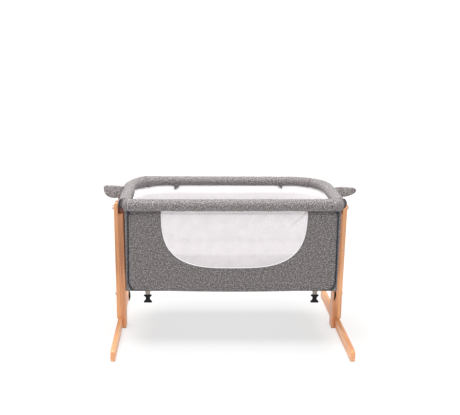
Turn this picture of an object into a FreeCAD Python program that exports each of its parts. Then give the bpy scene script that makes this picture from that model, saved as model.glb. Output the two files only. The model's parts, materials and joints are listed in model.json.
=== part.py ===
import FreeCAD, Part
import math
import os

# Bassinet on a beech stand: a padded, fabric-covered basket with a drop-down front side,
# carried by two uprights that let it be raised.
# Frame: +X along the length, -Y towards the drop side, +Z up. The origin is on the floor,
# under the middle. Millimetres. Right-hand pieces are drawn at +X and mirrored to the left.

V = FreeCAD.Vector

# ---------------------------------------------------------------- driving dimensions
# Stand
POST_OUT = 468.0          # outer face of the upright
POST_T = 17.0             # thickness of the upright's outer board
POST_DEPTH = 55.0         # front to back
POST_TOP = 537.0
GUIDE_T = 21.0            # thickness of the two guide battens
GUIDE_TOP = 491.0
CHANNEL = 30.0            # gap between the battens, in which the slider runs
FOOT_HALF = 374.0         # half the length of a foot
FOOT_T = 17.3
FOOT_OUT = 463.3
FOOT_TOP = 44.7
GLIDE_T = 3.0             # rubber under the feet
FOOT_BOLT_Y = 17.0        # the two bolts of a foot, either side of the middle
LOCK_Z = 513.0            # clamping screw of the height adjustment
POST_BOLT_Z = 146.0       # bolt through the upright and its stop block
NUT_Z = 84.0              # barrel nuts of the foot bolts
SCREW_ZS = (115.0, 280.0, 460.0)

# Fasteners, radii
NUT_R = 5.0
NUT_LENGTH = 14.0
BOLT_R = 3.0              # foot bolts and slider bolts
BOLT_HEAD_R = 5.5         # foot bolts
STUD_R = 4.0              # lock screws and post bolts
KNOB_R = 8.5              # heads of the lock screws and post bolts
SCREW_R = 2.0
SCREW_HEAD_R = 4.0
SCREW_GRIP = 12.0         # length of a guide screw in the upright's board
PIN_R = 2.5               # hinge pins

# Sliders and the padded handles on them
SLIDER_IN = 423.0
SLIDER_BOTTOM = 162.0
SLIDER_SHOULDER = 545.0   # above it the slider is a slim neck beside the padded rail
NECK_IN = 433.5
NECK_HALF = 9.0
NECK_TOP = 589.0
HANDLE_TIP = 505.0
HANDLE_TOP = 601.0
HANDLE_LOW = 555.0
HANDLE_HALF_T = 12.0
CORE_HALF = 5.0
CORE_TIP = HANDLE_TIP - 19.0  # the fin stops well inside its padding
CORE_TOP = HANDLE_TOP - 15.0
CORE_LOW = HANDLE_LOW + 12.0
HANDLE_SCREW_ZS = (571.5, 581.5)

# Basket
RAIL_Z = 572.0            # height of the padded rail's centre
RAIL_HALF = 409.0         # padded side rails, centre line
RAIL_BACK = 232.0         # padded back rail, centre line
RAIL_CORNER = 140.0       # centre-line radius of the back corners
RAIL_R = 20.5             # padded rail
SEAM_DEG = 51.6           # where the side and back covers meet, seen from the corner's centre
FRONT_RAIL_Y = -216.5
FRONT_RAIL_R = 23.5
FRONT_RAIL_HALF = 417.0
SIDE_RAIL_FRONT = -190.0  # front end of the side rails
CATCH_R = 9.5             # plastic cup in that end
SHELL_HALF = 409.0        # outside of the fabric shell
SHELL_BACK = 232.0
SHELL_BOTTOM = 233.5
SHELL_T = 3.0
BOTTOM_FRONT = -208.0     # front edge of the bottom fabric, behind the drop side's swing
SHELL_TOP = 548.0
LINING_HALF = 385.5       # outside of the white lining
LINING_BACK = 208.5
LINING_LOW = 263.0
LINING_TOP = 566.0
LINING_CORNER = 117.0
LINING_T = 1.5
LINING_FRONT = -200.5     # outer face of the low wall in front of the mattress
LINING_FRONT_TOP = 374.5
BOARD_TOP = 270.3
MATTRESS_TOP = 321.0
MATTRESS_FRONT = -196.0
TUBE_R = 8.0              # steel tube of the rails and the base
TUBE_BORE = 6.5
CROSS_R = 6.0             # cross tubes of the end frames
FRAME_X = 396.5           # end frames and the sides of the base ring
UPRIGHT_YS = (-158.0, 78.0)
END_BOLT_ZS = (505.0, 290.0)
BASE_Z = 254.0
BASE_BACK = 219.0
BASE_FRONT = -190.0
BUSH_R = 8.0              # bushes between the end frames and the sliders
LIFT = 150.0              # travel of the height adjustment
TAB_X = 222.0             # fabric loops under the back rail
TAB_HALF = 5.0

# Drop side
PANEL_Y = -226.5          # outer face of the front fabric
PANEL_T = 2.5
HINGE_X = 372.0
HINGE_Y = -218.0
HINGE_Z = 247.0
LUG_HALF = 4.0
LUG_R = 5.0
EAR_T = 3.0               # ears of the hinge brackets
ARM_Y = -209.0
ARM_R = 6.0
DROP_RAIL_Y = -210.0      # steel tube inside the padded front rail
LOW_TUBE_Z = 268.0
PANEL_BOTTOM = 252.0
PANEL_TOP = 548.0
WINDOW_HALF = 279.0
WINDOW_BOTTOM = 322.0
WINDOW_POWER = 2.6        # exponent of the window's rounded outline
ZIP_TOP_X = 390.5         # half-width of the line where the zips part the drop side
ZIP_LOW_X = 394.0
ZIP_LOW_Z = 267.0         # below it the zips slant inwards
ZIP_END_X = 384.0         # where the basket's half of a zip ends
ZIP_END_Z = 242.0
PANEL_CORNER_X = 377.0    # lower corners of the drop side's fabric
FRONT_CHAIN_END_X = 381.0

# Under the basket
STRAP_X = 328.0
STRAP_Y = -190.0
STRAP_TOP = 232.5
STRAP_JOIN = 204.0
BUCKLE_LOW = 170.0
ZIP_SLIDER_X = 398.3
ZIP_SLIDER_Z = 241.0
PULLER_LOW = 197.0

# Clearances
RUN = 0.4                 # between wooden sliding faces
GAP = 0.2                 # between a fastener and its hole
TURN = 0.3                # round a screw that turns in its hole
PIN_FIT = 0.05            # radial, hinge pin in its lug

# ---------------------------------------------------------------- worked out
POST_IN = POST_OUT - POST_T
GUIDE_IN = POST_IN - GUIDE_T
HALF_DEPTH = POST_DEPTH / 2
HALF_CHANNEL = CHANNEL / 2
SLIDER_OUT = POST_IN - RUN
STEEL_HALF = RAIL_HALF - 4.5
STEEL_BACK = RAIL_BACK - 4.5
STEEL_CORNER = RAIL_CORNER - 4.5
CATCH_BACK = SIDE_RAIL_FRONT + 14
PULLER_Y = PANEL_Y - 5.8
PULLER_Z = ZIP_SLIDER_Z - 3.0
HINGE_REACH = LUG_HALF + RUN + EAR_T
FAR = 600.0               # past everything, for cutting


# ---------------------------------------------------------------- shape helpers
def box(x0, x1, y0, y1, z0, z1):
    return Part.makeBox(x1 - x0, y1 - y0, z1 - z0, V(x0, y0, z0))


def rod(start, end, radius):
    axis = end.sub(start)
    return Part.makeCylinder(radius, axis.Length, start, axis)


def rod_x(x0, x1, y, z, radius):
    return rod(V(x0, y, z), V(x1, y, z), radius)


def mirrored(shape):
    return shape.mirror(V(0, 0, 0), V(1, 0, 0))


def both(shape):
    """A right-hand piece and its left-hand twin, as two solids of one node."""
    return Part.makeCompound([shape, mirrored(shape)])


def prism(points, direction):
    """A flat outline of straight lines, extruded."""
    return Part.Face(Part.makePolygon(points + [points[0]])).extrude(direction)


def line(a, b):
    return Part.LineSegment(a, b).toShape()


def on_arc(cx, cy, radius, degrees, z):
    angle = math.radians(degrees)
    return V(cx + radius * math.cos(angle), cy + radius * math.sin(angle), z)


def arc(cx, cy, radius, start, end, z):
    """Arc in a horizontal plane, from one angle in degrees to another."""
    middle = (start + end) / 2
    ends = [on_arc(cx, cy, radius, a, z) for a in (start, middle, end)]
    return Part.Arc(*ends).toShape()


def sweep(edges, radius):
    """A round bar along a path whose pieces are tangent."""
    path = Part.Wire(edges)
    first = path.Edges[0]
    start = first.valueAt(first.FirstParameter)
    tangent = first.tangentAt(first.FirstParameter)
    ring = Part.Wire(Part.makeCircle(radius, start, tangent))
    return path.makePipeShell([ring], True, False)


def biggest(shape):
    """The main solid, without the crumbs that a cut leaves."""
    return max(shape.Solids, key=lambda solid: solid.Volume)


def fillet_where(shape, radius, chosen):
    edges = [e for e in shape.Edges if chosen(e)]
    return shape.makeFillet(radius, edges)


def runs_along(edge, axis):
    """True for a straight edge parallel to a unit vector."""
    start, end = edge.Vertexes[0].Point, edge.Vertexes[-1].Point
    span = end.sub(start)
    return span.Length > 1e-6 and abs(abs(span.dot(axis)) - span.Length) < 1e-6


def plan_prism(half, back, front, corner, z0, z1):
    """A prism with a straight front and two large rounded back corners."""
    cx = half - corner
    cy = back - corner
    edges = [
        line(V(-half, front, z0), V(-half, cy, z0)),
        arc(-cx, cy, corner, 180, 90, z0),
        line(V(-cx, back, z0), V(cx, back, z0)),
        arc(cx, cy, corner, 90, 0, z0),
        line(V(half, cy, z0), V(half, front, z0)),
        line(V(half, front, z0), V(-half, front, z0)),
    ]
    return Part.Face(Part.Wire(edges)).extrude(V(0, 0, z1 - z0))


def rail_edges(half, back, corner, section, front):
    """Edges of the left, back or right stretch of a rail that bends round the back corners."""
    cx = half - corner
    cy = back - corner
    seam = 180 - SEAM_DEG
    if section == "left":
        return [line(V(-half, front, RAIL_Z), V(-half, cy, RAIL_Z)),
                arc(-cx, cy, corner, 180, seam, RAIL_Z)]
    if section == "right":
        return [arc(cx, cy, corner, SEAM_DEG, 0, RAIL_Z),
                line(V(half, cy, RAIL_Z), V(half, front, RAIL_Z))]
    return [arc(-cx, cy, corner, seam, 90, RAIL_Z),
            line(V(-cx, back, RAIL_Z), V(cx, back, RAIL_Z)),
            arc(cx, cy, corner, 90, SEAM_DEG, RAIL_Z)]


# ---------------------------------------------------------------- stand
def foot_bolt_places():
    return [V((POST_IN + FOOT_OUT) / 2, y, 0) for y in (-FOOT_BOLT_Y, FOOT_BOLT_Y)]


def outer_post():
    corner = 10.0
    x0, x1, y0, y1 = POST_IN, POST_OUT, -HALF_DEPTH, HALF_DEPTH
    post = box(x0, x1, y0, y1, FOOT_TOP, POST_TOP)
    post = fillet_where(post, corner, lambda e: runs_along(e, V(0, 1, 0))
                        and e.CenterOfMass.x > x1 - 1 and e.CenterOfMass.z > POST_TOP - 1)
    post = fillet_where(post, 2.0, lambda e: runs_along(e, V(0, 0, 1)) and e.Length > 300)
    post = post.cut(rod_x(x0 - 1, x1 + 1, 0, LOCK_Z, STUD_R + TURN))
    post = post.cut(rod_x(x0 - 1, x1 + 1, 0, POST_BOLT_Z, STUD_R + GAP))
    for place in foot_bolt_places():
        shank = rod(V(place.x, place.y, FOOT_TOP - 1), V(place.x, place.y, NUT_Z + 14), BOLT_R + GAP)
        nut = rod_x(x0 - 1, x0 + NUT_LENGTH + 1, place.y, NUT_Z, NUT_R + GAP)
        post = post.cut(shank).cut(nut)
    for screw in screw_axes():
        post = post.cut(rod_x(x0 - 1, x0 + SCREW_GRIP + 1, screw.y, screw.z, SCREW_R + GAP))
    return post


def screw_axes():
    y = HALF_CHANNEL + (HALF_DEPTH - HALF_CHANNEL) / 2
    return [V(0, side * y, z) for side in (-1, 1) for z in SCREW_ZS]


def guide(side):
    """A batten screwed to the outer board. side is -1 for the front one, 1 for the rear one."""
    y0, y1 = sorted((side * HALF_CHANNEL, side * HALF_DEPTH))
    batten = box(GUIDE_IN, POST_IN, y0, y1, GLIDE_T, GUIDE_TOP)
    batten = fillet_where(batten, 1.5, lambda e: runs_along(e, V(0, 0, 1))
                          and e.CenterOfMass.x < GUIDE_IN + 1)
    batten = batten.cut(box(FOOT_OUT - FOOT_T, POST_IN + 1, y0 - 1, y1 + 1, 0, FOOT_TOP))
    for screw in screw_axes():
        if screw.y * side > 0:
            batten = batten.cut(rod_x(GUIDE_IN - 1, POST_IN + 1, screw.y, screw.z, SCREW_R + GAP))
            mouth = V(GUIDE_IN, screw.y, screw.z)
            sink = Part.makeCone(SCREW_HEAD_R + GAP, SCREW_R + GAP, 3.0, mouth, V(1, 0, 0))
            batten = batten.cut(sink)
    return batten


def guide_screws():
    screws = []
    for place in screw_axes():
        shank = rod_x(GUIDE_IN + 1, POST_IN + SCREW_GRIP, place.y, place.z, SCREW_R)
        mouth = V(GUIDE_IN + 0.1, place.y, place.z)
        head = Part.makeCone(SCREW_HEAD_R, SCREW_R, 2.8, mouth, V(1, 0, 0))
        recess = rod_x(GUIDE_IN, GUIDE_IN + 1.6, place.y, place.z, 1.4)
        screws.append(shank.fuse(head).removeSplitter().cut(recess))
    return Part.makeCompound(screws + [mirrored(s) for s in screws])


def stop_block():
    """Fills the channel's foot, carries the slider at its lowest place."""
    top = SLIDER_BOTTOM - 0.3
    block = box(GUIDE_IN, POST_IN, -HALF_CHANNEL, HALF_CHANNEL, GLIDE_T, top)
    block = block.cut(box(FOOT_OUT - FOOT_T, POST_IN + 1, -HALF_CHANNEL - 1, HALF_CHANNEL + 1, 0, FOOT_TOP))
    return block.cut(rod_x(GUIDE_IN + 3, POST_IN + 1, 0, POST_BOLT_Z, STUD_R + GAP))


def post_bolt():
    """Bolt with a low domed head on the upright's outer face."""
    head_len = 6.0
    socket_r = 3.2
    shank = rod_x(GUIDE_IN + 4, POST_OUT, 0, POST_BOLT_Z, STUD_R)
    head = rod_x(POST_OUT, POST_OUT + head_len, 0, POST_BOLT_Z, KNOB_R)
    head = fillet_where(head, 2.5, lambda e: abs(e.CenterOfMass.x - POST_OUT - head_len) < 0.1)
    corners = [on_arc(0, POST_BOLT_Z, socket_r, degrees, 0) for degrees in range(0, 360, 60)]
    socket = prism([V(POST_OUT + head_len / 2, c.x, c.y) for c in corners], V(head_len, 0, 0))
    return shank.fuse(head).removeSplitter().cut(socket)


def foot():
    """One beam that runs front to back, rounded at its top ends and long edges."""
    x0 = FOOT_OUT - FOOT_T
    beam = box(x0, FOOT_OUT, -FOOT_HALF, FOOT_HALF, GLIDE_T, FOOT_TOP)
    beam = fillet_where(beam, 15.0, lambda e: runs_along(e, V(1, 0, 0))
                        and e.CenterOfMass.z > FOOT_TOP - 1)
    beam = fillet_where(beam, 3.0, lambda e: e.CenterOfMass.z > FOOT_TOP - 14
                        and (abs(e.CenterOfMass.x - x0) < 0.01 or abs(e.CenterOfMass.x - FOOT_OUT) < 0.01)
                        and not runs_along(e, V(1, 0, 0)) and not runs_along(e, V(0, 0, 1)))
    seat = box(POST_IN - 0.01, FOOT_OUT + 1, -HALF_DEPTH, HALF_DEPTH, FOOT_TOP - 4, FOOT_TOP)
    beam = beam.fuse(seat.common(box(x0, FOOT_OUT, -HALF_DEPTH, HALF_DEPTH, 0, FOOT_TOP))).removeSplitter()
    for place in foot_bolt_places():
        beam = beam.cut(rod(V(place.x, place.y, 0), V(place.x, place.y, FOOT_TOP + 1), BOLT_R + GAP))
        beam = beam.cut(rod(V(place.x, place.y, 0), V(place.x, place.y, GLIDE_T + 7), BOLT_HEAD_R + GAP))
    return beam


def foot_bolts():
    bolts = []
    for place in foot_bolt_places():
        shank = rod(V(place.x, place.y, GLIDE_T + 6), V(place.x, place.y, NUT_Z + 10), BOLT_R)
        head = rod(V(place.x, place.y, GLIDE_T + 1), V(place.x, place.y, GLIDE_T + 6.5), BOLT_HEAD_R)
        bolts.append(both(shank.fuse(head).removeSplitter()))
    return Part.makeCompound([s for pair in bolts for s in pair.Solids])


def barrel_nuts():
    nuts = []
    for place in foot_bolt_places():
        nut = rod_x(POST_IN + 0.5, POST_IN + 0.5 + NUT_LENGTH, place.y, NUT_Z, NUT_R)
        bore = rod(V(place.x, place.y, NUT_Z - 9), V(place.x, place.y, NUT_Z + 9), BOLT_R + GAP)
        nuts.append(nut.cut(bore))
    return Part.makeCompound(nuts + [mirrored(n) for n in nuts])


def foot_glides():
    """Rubber pads under both ends of each foot and under the battens."""
    x0 = FOOT_OUT - FOOT_T + 1
    pads = []
    for y in (-FOOT_HALF + 32, FOOT_HALF - 32):
        pad = box(x0, FOOT_OUT - 1, y - 24, y + 24, 0, GLIDE_T)
        pads.append(fillet_where(pad, 5.0, lambda e: runs_along(e, V(0, 0, 1))))
    pads.append(box(GUIDE_IN + 1, x0 - 2, -HALF_DEPTH + 2, HALF_DEPTH - 2, 0, GLIDE_T))
    return Part.makeCompound(pads + [mirrored(p) for p in pads])


def lock_screw():
    """Clamping screw of the height adjustment: knurled head outside, shank in the slider's groove."""
    head_len = 9.0
    head = rod_x(POST_OUT + RUN, POST_OUT + head_len, 0, LOCK_Z, KNOB_R)
    head = fillet_where(head, 1.5, lambda e: abs(e.CenterOfMass.x - POST_OUT - head_len) < 0.1)
    flutes = 16
    for i in range(flutes):
        place = on_arc(0, LOCK_Z, KNOB_R + 0.4, i * 360 / flutes, 0)
        head = head.cut(rod_x(POST_OUT, POST_OUT + head_len + 1, place.x, place.y, 0.8))
    slot = box(POST_OUT + head_len - 2, POST_OUT + head_len + 1, -0.8, 0.8, LOCK_Z - 5.5, LOCK_Z + 5.5)
    shank = rod_x(SLIDER_OUT - 9, POST_OUT + 1, 0, LOCK_Z, STUD_R)
    return head.fuse(shank).removeSplitter().cut(slot)


# ---------------------------------------------------------------- sliders and handles
def slider():
    """Beech bar that runs in the channel and carries the basket's end."""
    half = HALF_CHANNEL - RUN
    bar = box(SLIDER_IN, SLIDER_OUT, -half, half, SLIDER_BOTTOM, SLIDER_SHOULDER)
    bar = fillet_where(bar, 1.5, lambda e: runs_along(e, V(0, 0, 1)))
    neck = box(NECK_IN, SLIDER_OUT, -NECK_HALF, NECK_HALF, SLIDER_SHOULDER - 5, NECK_TOP)
    bar = bar.fuse(neck).removeSplitter()
    groove_half = 4.6
    groove = box(SLIDER_OUT - 11, SLIDER_OUT + 1, -groove_half, groove_half, LOCK_Z - LIFT - 5, LOCK_Z + 5)
    bar = bar.cut(groove)
    for z in END_BOLT_ZS:
        bar = bar.cut(rod_x(SLIDER_IN - 1, SLIDER_OUT - 11.5, 0, z, BOLT_R + GAP))
    for z in HANDLE_SCREW_ZS:
        bar = bar.cut(rod_x(NECK_IN - 1, SLIDER_OUT + 1, 0, z, SCREW_R + GAP))
    return bar


def handle_core():
    """Stiff fin screwed to the slider's neck, sticking out over the top of the upright."""
    fin = box(SLIDER_OUT, CORE_TIP, -CORE_HALF, CORE_HALF, CORE_LOW, CORE_TOP)
    fin = fillet_where(fin, 9.0, lambda e: runs_along(e, V(0, 1, 0))
                       and e.CenterOfMass.x > CORE_TIP - 1 and e.CenterOfMass.z < CORE_LOW + 1)
    for z in HANDLE_SCREW_ZS:
        fin = fin.cut(rod_x(SLIDER_OUT - 1, SLIDER_OUT + 16, 0, z, SCREW_R + GAP))
    return fin


def handle_cover():
    """Padded sleeve round the fin and the neck: straight on top, rounded below."""
    y0 = -HANDLE_HALF_T
    inner = NECK_IN - 2

    def at(x, z):
        return V(x, y0, z)

    low_in, low_out = at(inner, HANDLE_LOW), at(462, HANDLE_LOW)
    top_in, top_out = at(inner, HANDLE_TOP - 2), at(HANDLE_TIP - 7, HANDLE_TOP)
    tip_top, tip_low = at(HANDLE_TIP, HANDLE_TOP - 7), at(HANDLE_TIP - 1, HANDLE_LOW + 29)
    outline = [line(low_in, top_in), line(top_in, top_out),
               Part.Arc(top_out, at(HANDLE_TIP - 2, HANDLE_TOP - 2), tip_top).toShape(),
               line(tip_top, tip_low),
               Part.Arc(tip_low, at(HANDLE_TIP - 15, HANDLE_LOW + 9), low_out).toShape(),
               line(low_out, low_in)]
    cover = Part.Face(Part.Wire(outline)).extrude(V(0, 2 * HANDLE_HALF_T, 0))
    cover = fillet_where(cover, 5.0, lambda e: not runs_along(e, V(0, 1, 0))
                         and e.CenterOfMass.x > inner + 1)
    neck = box(NECK_IN - GAP, SLIDER_OUT + GAP, -NECK_HALF - GAP, NECK_HALF + GAP, 0, NECK_TOP + GAP)
    fin = box(SLIDER_OUT, CORE_TIP + GAP, -CORE_HALF - GAP, CORE_HALF + GAP,
              CORE_LOW - GAP, CORE_TOP + GAP)
    return cover.cut(neck).cut(fin)


def handle_screws():
    screws = []
    for z in HANDLE_SCREW_ZS:
        screws.append(rod_x(NECK_IN + 1, SLIDER_OUT + 14, 0, z, SCREW_R))
    return Part.makeCompound(screws + [mirrored(s) for s in screws])


# ---------------------------------------------------------------- basket frame
def steel_rail_edges(front):
    cx = STEEL_HALF - STEEL_CORNER
    cy = STEEL_BACK - STEEL_CORNER
    return [line(V(-STEEL_HALF, front, RAIL_Z), V(-STEEL_HALF, cy, RAIL_Z)),
            arc(-cx, cy, STEEL_CORNER, 180, 90, RAIL_Z),
            line(V(-cx, STEEL_BACK, RAIL_Z), V(cx, STEEL_BACK, RAIL_Z)),
            arc(cx, cy, STEEL_CORNER, 90, 0, RAIL_Z),
            line(V(STEEL_HALF, cy, RAIL_Z), V(STEEL_HALF, front, RAIL_Z))]


def top_rail_tube():
    outside = sweep(steel_rail_edges(CATCH_BACK), TUBE_R)
    return outside.cut(sweep(steel_rail_edges(CATCH_BACK), TUBE_BORE))


def base_ring_solid(radius):
    """Closed ring with tight front corners and wide back corners."""
    front_corner = 25.0
    back_corner = 127.5
    cx, cy = FRAME_X - back_corner, BASE_BACK - back_corner
    fx, fy = FRAME_X - front_corner, BASE_FRONT + front_corner
    edges = [line(V(0, BASE_FRONT, BASE_Z), V(-fx, BASE_FRONT, BASE_Z)),
             arc(-fx, fy, front_corner, 270, 180, BASE_Z),
             line(V(-FRAME_X, fy, BASE_Z), V(-FRAME_X, cy, BASE_Z)),
             arc(-cx, cy, back_corner, 180, 90, BASE_Z),
             line(V(-cx, BASE_BACK, BASE_Z), V(cx, BASE_BACK, BASE_Z)),
             arc(cx, cy, back_corner, 90, 0, BASE_Z),
             line(V(FRAME_X, cy, BASE_Z), V(FRAME_X, fy, BASE_Z)),
             arc(fx, fy, front_corner, 0, -90, BASE_Z),
             line(V(fx, BASE_FRONT, BASE_Z), V(0, BASE_FRONT, BASE_Z))]
    return sweep(edges, radius)


def base_ring():
    return base_ring_solid(TUBE_R).cut(base_ring_solid(TUBE_BORE))


def end_frame():
    """Two uprights and two cross tubes, welded, between the base ring and the top rail."""
    y0, y1 = UPRIGHT_YS
    frame = rod(V(FRAME_X, y0, BASE_Z), V(FRAME_X, y0, RAIL_Z - 1), TUBE_R)
    frame = frame.fuse(rod(V(FRAME_X, y1, BASE_Z), V(FRAME_X, y1, RAIL_Z - 1), TUBE_R))
    for z in END_BOLT_ZS:
        frame = frame.fuse(rod(V(FRAME_X, y0, z), V(FRAME_X, y1, z), CROSS_R))
    cope = rod(V(FRAME_X, y0 - 20, BASE_Z), V(FRAME_X, y1 + 13, BASE_Z), TUBE_R + GAP)
    rail = rod(V(STEEL_HALF, y0 - 20, RAIL_Z), V(STEEL_HALF, y1 + 13, RAIL_Z), TUBE_R + GAP)
    frame = frame.removeSplitter().cut(cope).cut(rail)
    for z in END_BOLT_ZS:
        frame = frame.cut(rod_x(FRAME_X - 20, FRAME_X + 20, 0, z, BOLT_R + GAP))
    return biggest(frame)


def spacer_bushes():
    """Plastic bushes that keep the end frames off the sliders, through the fabric."""
    bushes = []
    for z in END_BOLT_ZS:
        bush = rod_x(FRAME_X, SLIDER_IN, 0, z, BUSH_R)
        tube = rod(V(FRAME_X, -30, z), V(FRAME_X, 30, z), CROSS_R + GAP)
        bush = bush.cut(tube).cut(rod_x(FRAME_X - 1, SLIDER_IN + 1, 0, z, BOLT_R + GAP))
        bushes.append(biggest(bush))
    return Part.makeCompound(bushes + [mirrored(b) for b in bushes])


def slider_bolts():
    bolts = []
    for z in END_BOLT_ZS:
        head_in = FRAME_X - 10.0
        head = rod_x(head_in, head_in + 3.6, 0, z, 5.0)
        shank = rod_x(head_in + 3, SLIDER_OUT - 12.5, 0, z, BOLT_R)
        bolts.append(head.fuse(shank).removeSplitter())
    return Part.makeCompound(bolts + [mirrored(b) for b in bolts])


def rail_catch():
    """Plastic cup in the front end of a side rail, which the drop side's stud snaps into."""
    cup = rod(V(STEEL_HALF, SIDE_RAIL_FRONT + 0.5, RAIL_Z), V(STEEL_HALF, CATCH_BACK, RAIL_Z), CATCH_R)
    hole = rod(V(STEEL_HALF, SIDE_RAIL_FRONT - 1, RAIL_Z), V(STEEL_HALF, CATCH_BACK - 4, RAIL_Z), 3.8)
    return cup.cut(hole)


def hinge_bracket():
    """Clevis under the base ring's front tube that holds the drop side's pivot pin."""
    ears = []
    for sign in (-1, 1):
        x0 = HINGE_X + sign * (LUG_HALF + RUN)
        x1 = HINGE_X + sign * HINGE_REACH
        eye = rod_x(min(x0, x1), max(x0, x1), HINGE_Y, HINGE_Z, LUG_R)
        web = box(min(x0, x1), max(x0, x1), HINGE_Y, BASE_FRONT, HINGE_Z - LUG_R, HINGE_Z + 3)
        ears.append(eye.fuse(web).removeSplitter())
    back = box(HINGE_X - HINGE_REACH, HINGE_X + HINGE_REACH, BASE_FRONT - TUBE_R - 5, BASE_FRONT,
               HINGE_Z - LUG_R, HINGE_Z + 3)
    bracket = ears[0].fuse(ears[1]).fuse(back).removeSplitter()
    tube = rod_x(HINGE_X - 30, HINGE_X + 30, BASE_FRONT, BASE_Z, TUBE_R + GAP)
    bore = rod_x(HINGE_X - 30, HINGE_X + 30, HINGE_Y, HINGE_Z, PIN_R + GAP)
    bracket = bracket.cut(tube).cut(bore)
    return biggest(bracket)


# ---------------------------------------------------------------- boards, mattress, fabric
def base_boards():
    """Two boards that lie on the base ring, meeting in the middle."""
    inset = 2.5
    whole = plan_prism(LINING_HALF - inset, LINING_BACK - inset, MATTRESS_FRONT - 2, LINING_CORNER - 3,
                       BASE_Z + TUBE_R + 0.3, BOARD_TOP)
    joint = box(-0.8, 0.8, -FAR, FAR, 0, FAR)
    return Part.makeCompound(whole.cut(joint).Solids)


def mattress():
    inset = 5.0
    pad = plan_prism(LINING_HALF - inset, LINING_BACK - inset, MATTRESS_FRONT, LINING_CORNER - inset,
                     BOARD_TOP + 0.5, MATTRESS_TOP)
    return fillet_where(pad, 12.0, lambda e: e.CenterOfMass.z > MATTRESS_TOP - 1)


def shell_wall():
    """The grey fabric walls of the ends and the back, in one piece before they are parted."""
    front = PANEL_Y + PANEL_T + 1
    corner = RAIL_CORNER
    outside = plan_prism(SHELL_HALF, SHELL_BACK, front, corner, SHELL_BOTTOM, SHELL_TOP)
    inside = plan_prism(SHELL_HALF - SHELL_T, SHELL_BACK - SHELL_T, front - 10, corner - SHELL_T,
                        SHELL_BOTTOM - 1, SHELL_TOP + 1)
    wall = outside.cut(inside)
    for rail in ("left", "back", "right"):
        edges = rail_edges(RAIL_HALF, RAIL_BACK, RAIL_CORNER, rail, SIDE_RAIL_FRONT)
        wall = wall.cut(sweep(edges, RAIL_R + GAP))
    return biggest(wall)


def shell_seam_x():
    return RAIL_HALF - RAIL_CORNER + RAIL_CORNER * math.cos(math.radians(SEAM_DEG))


def end_panel():
    panel = shell_wall().common(box(shell_seam_x() + 0.1, FAR, -FAR, FAR, 0, FAR))
    for z in END_BOLT_ZS:
        panel = panel.cut(rod_x(FRAME_X, SLIDER_IN, 0, z, BUSH_R + GAP))
    return biggest(panel)


def back_panel():
    seam = shell_seam_x()
    panel = shell_wall().common(box(-seam, seam, 0, FAR, 0, FAR))
    return biggest(panel)


def bottom_panel():
    return plan_prism(SHELL_HALF - SHELL_T - 0.5, SHELL_BACK - SHELL_T - 0.5, BOTTOM_FRONT,
                      RAIL_CORNER - SHELL_T, SHELL_BOTTOM, SHELL_BOTTOM + 2.5)


def inner_lining():
    """White inner skin of the ends and the back."""
    outside = plan_prism(LINING_HALF, LINING_BACK, SIDE_RAIL_FRONT + 1, LINING_CORNER,
                         LINING_LOW, LINING_TOP)
    inside = plan_prism(LINING_HALF - LINING_T, LINING_BACK - LINING_T, SIDE_RAIL_FRONT - 20,
                        LINING_CORNER - LINING_T, LINING_LOW - 1, LINING_TOP + 1)
    return outside.cut(inside)


def front_lining():
    """Low white wall that stays in front of the mattress when the side is down."""
    corner = 3.0
    back = SIDE_RAIL_FRONT + 0.5
    wall = box(-LINING_HALF, LINING_HALF, LINING_FRONT, back, LINING_LOW, LINING_FRONT_TOP)
    wall = fillet_where(wall, corner, lambda e: runs_along(e, V(0, 0, 1))
                        and e.CenterOfMass.y < LINING_FRONT + 1)
    inside = box(-LINING_HALF + LINING_T, LINING_HALF - LINING_T, LINING_FRONT + LINING_T, back + 1,
                 LINING_LOW - 1, LINING_FRONT_TOP + 1)
    inside = fillet_where(inside, corner - LINING_T, lambda e: runs_along(e, V(0, 0, 1))
                          and e.CenterOfMass.y < LINING_FRONT + LINING_T + 1)
    return wall.cut(inside)


def rail_cover(section):
    """Foam and fabric round one stretch of the top rail."""
    cover = sweep(rail_edges(RAIL_HALF, RAIL_BACK, RAIL_CORNER, section, SIDE_RAIL_FRONT), RAIL_R)
    cover = cover.cut(sweep(steel_rail_edges(SIDE_RAIL_FRONT - 5), TUBE_R + GAP))
    if section != "back":
        mouth = V(STEEL_HALF, SIDE_RAIL_FRONT - 5, RAIL_Z)
        catch = rod(mouth, V(STEEL_HALF, CATCH_BACK + GAP, RAIL_Z), CATCH_R + GAP)
        for y in UPRIGHT_YS:
            catch = catch.fuse(rod(V(FRAME_X, y, RAIL_Z - 40), V(FRAME_X, y, RAIL_Z), TUBE_R + GAP))
        if section == "left":
            catch = mirrored(catch)
        cover = cover.cut(catch)
    return biggest(cover)


def rail_tab():
    """Small fabric loop under the inner side of the back rail."""
    y = RAIL_BACK - RAIL_R + 1
    tab = box(TAB_X - TAB_HALF, TAB_X + TAB_HALF, y - 2.5, y, RAIL_Z - 26, RAIL_Z - 10)
    return tab.cut(box(0, FAR, y - 1.6, y - 0.9, RAIL_Z - 24, RAIL_Z - 12))


# ---------------------------------------------------------------- drop side
def zip_x(z):
    """Half-width of the zip line at a height, above its lower corner."""
    return ZIP_TOP_X + (PANEL_TOP - z) / (PANEL_TOP - ZIP_LOW_Z) * (ZIP_LOW_X - ZIP_TOP_X)


def front_panel_corners():
    chain = 3.5
    y = PANEL_Y
    top = zip_x(PANEL_TOP) - chain
    low = zip_x(ZIP_LOW_Z) - chain
    corner = PANEL_CORNER_X
    return [V(-top, y, PANEL_TOP), V(top, y, PANEL_TOP), V(low, y, ZIP_LOW_Z),
            V(corner, y, PANEL_BOTTOM), V(-corner, y, PANEL_BOTTOM), V(-low, y, ZIP_LOW_Z)]


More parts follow.
